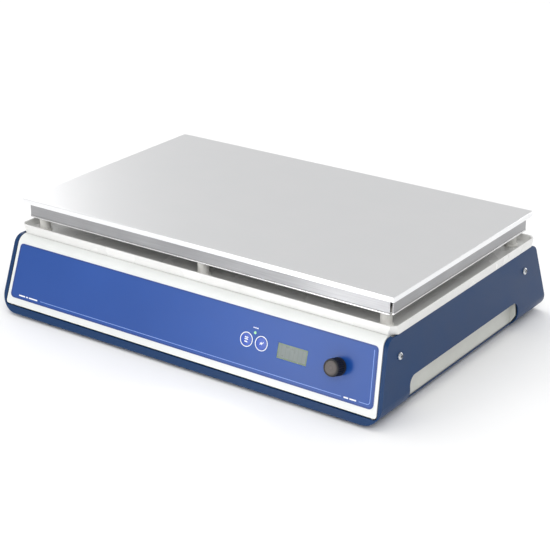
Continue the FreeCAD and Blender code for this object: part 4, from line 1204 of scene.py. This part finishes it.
class HOTPLATE_OT_other_finishes(bpy.types.Operator):
    """Gives every CAD node that still shows the finish of its slot"""
    bl_idname = "hotplate.other_finishes"
    bl_label = "Other finishes"

    def execute(self, context):
        for part in frame["record"]["subparts"]:
            node = frame["nodes"][part["node"]]
            for slot in node.material_slots:
                slot.material = finish(part["material_slot"])
        return {"FINISHED"}


class HOTPLATE_OT_stage(bpy.types.Operator):
    """Makes the floor, the lights and the camera"""
    bl_idname = "hotplate.stage"
    bl_label = "Stage"

    def hung(self, context, lamp, place, aim):
        """Hangs a lamp at a place, facing an aim."""
        made = bpy.data.objects.new(lamp.name, lamp)
        made.location = place
        made.rotation_euler = (aim - Vector(place)).to_track_quat("-Z", "Y").to_euler()
        context.scene.collection.objects.link(made)
        return made

    def area_lights(self, context, studio):
        """The soft rectangular lights of the studio."""
        for name, (place, size, level, mirrored) in AREA_LIGHTS.items():
            lamp = bpy.data.lights.new(name, "AREA")
            lamp.shape = "RECTANGLE"
            lamp.size, lamp.size_y = size
            lamp.energy = getattr(studio, level)
            self.hung(context, lamp, place, LIGHTS_AIM).visible_glossy = mirrored

    def pool(self, context, power):
        """A soft spot on the floor in front, which the pan's right-hand front mirrors."""
        lamp = bpy.data.lights.new("Floor pool", "SPOT")
        lamp.energy = power
        lamp.spot_size = math.radians(9)
        lamp.spot_blend = 0.7
        lamp.shadow_soft_size = 0.05
        self.hung(context, lamp, POOL_PLACE, POOL_AIM)

    def camera(self, context, studio):
        """The camera, looking at its aim from its two angles."""
        level = math.cos(studio.elevation)
        back = Vector((math.sin(studio.azimuth) * level, -math.cos(studio.azimuth) * level,
                       math.sin(studio.elevation)))
        lens = bpy.data.cameras.new("Camera")
        lens.lens = studio.lens
        lens.sensor_width = 36.0
        lens.clip_end = 50.0
        made = bpy.data.objects.new("Camera", lens)
        made.location = Vector(studio.aim) + back * studio.distance
        made.rotation_euler = (back.to_track_quat("Z", "Y").to_matrix()
                               @ Matrix.Rotation(studio.roll, 3, "Z")).to_euler()
        context.scene.collection.objects.link(made)
        context.scene.camera = made

    def execute(self, context):
        studio = context.scene.hot_plate_studio
        shape = bmesh.new()
        bmesh.ops.create_grid(shape, x_segments=8, y_segments=8, size=8.0)
        mesh = bpy.data.meshes.new("studio_floor")
        shape.to_mesh(mesh)
        shape.free()
        mesh.materials.append(finish("floor_paint"))
        floor = bpy.data.objects.new("studio_floor", mesh)
        context.scene.collection.objects.link(floor)
        world = bpy.data.worlds.new("Studio")
        context.scene.world = world
        world.use_nodes = True
        sky = world.node_tree.nodes["Background"]
        sky.inputs["Color"].default_value = (1.0, 1.0, 1.0, 1.0)
        sky.inputs["Strength"].default_value = studio.sky
        self.area_lights(context, studio)
        self.pool(context, studio.pool_power)
        self.camera(context, studio)
        context.scene.view_settings.view_transform = "Standard"
        return {"FINISHED"}


STEPS = (HOTPLATE_OT_heated_plate, HOTPLATE_OT_heater_pan, HOTPLATE_OT_spill_tray, HOTPLATE_OT_pillars,
         HOTPLATE_OT_case, HOTPLATE_OT_screws, HOTPLATE_OT_overlay, HOTPLATE_OT_keys, HOTPLATE_OT_display,
         HOTPLATE_OT_knob, HOTPLATE_OT_rear_services, HOTPLATE_OT_other_finishes, HOTPLATE_OT_stage)
GROUPS = {
    "hot_plate_sizes": HotPlateSizes,
    "hot_plate_colours": HotPlateColours,
    "hot_plate_studio": HotPlateStudio,
}


class HOTPLATE_PT_sidebar(bpy.types.Panel):
    """Lists the hot plate's settings and steps"""
    bl_idname = "HOTPLATE_PT_sidebar"
    bl_label = "Hot plate"
    bl_space_type = "VIEW_3D"
    bl_region_type = "UI"
    bl_category = "Hot plate"

    def draw(self, context):
        for name, group in GROUPS.items():
            box = self.layout.box()
            for label in group.__annotations__:
                box.prop(getattr(context.scene, name), label)
        for step in STEPS:
            self.layout.operator(step.bl_idname)


CLASSES = tuple(GROUPS.values()) + STEPS + (HOTPLATE_PT_sidebar,)


def register():
    """Registers the classes and hangs the property groups on the scene."""
    for each in CLASSES:
        bpy.utils.register_class(each)
    for name, group in GROUPS.items():
        setattr(bpy.types.Scene, name, bpy.props.PointerProperty(type=group))


def unregister():
    """Takes the property groups and classes away again."""
    for name in GROUPS:
        delattr(bpy.types.Scene, name)
    for each in reversed(CLASSES):
        bpy.utils.unregister_class(each)


def main():
    """Registers the add-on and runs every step."""
    register()
    for step in STEPS:
        group, name = step.bl_idname.split(".")
        getattr(getattr(bpy.ops, group), name)()


if __name__ == "__main__":
    main()
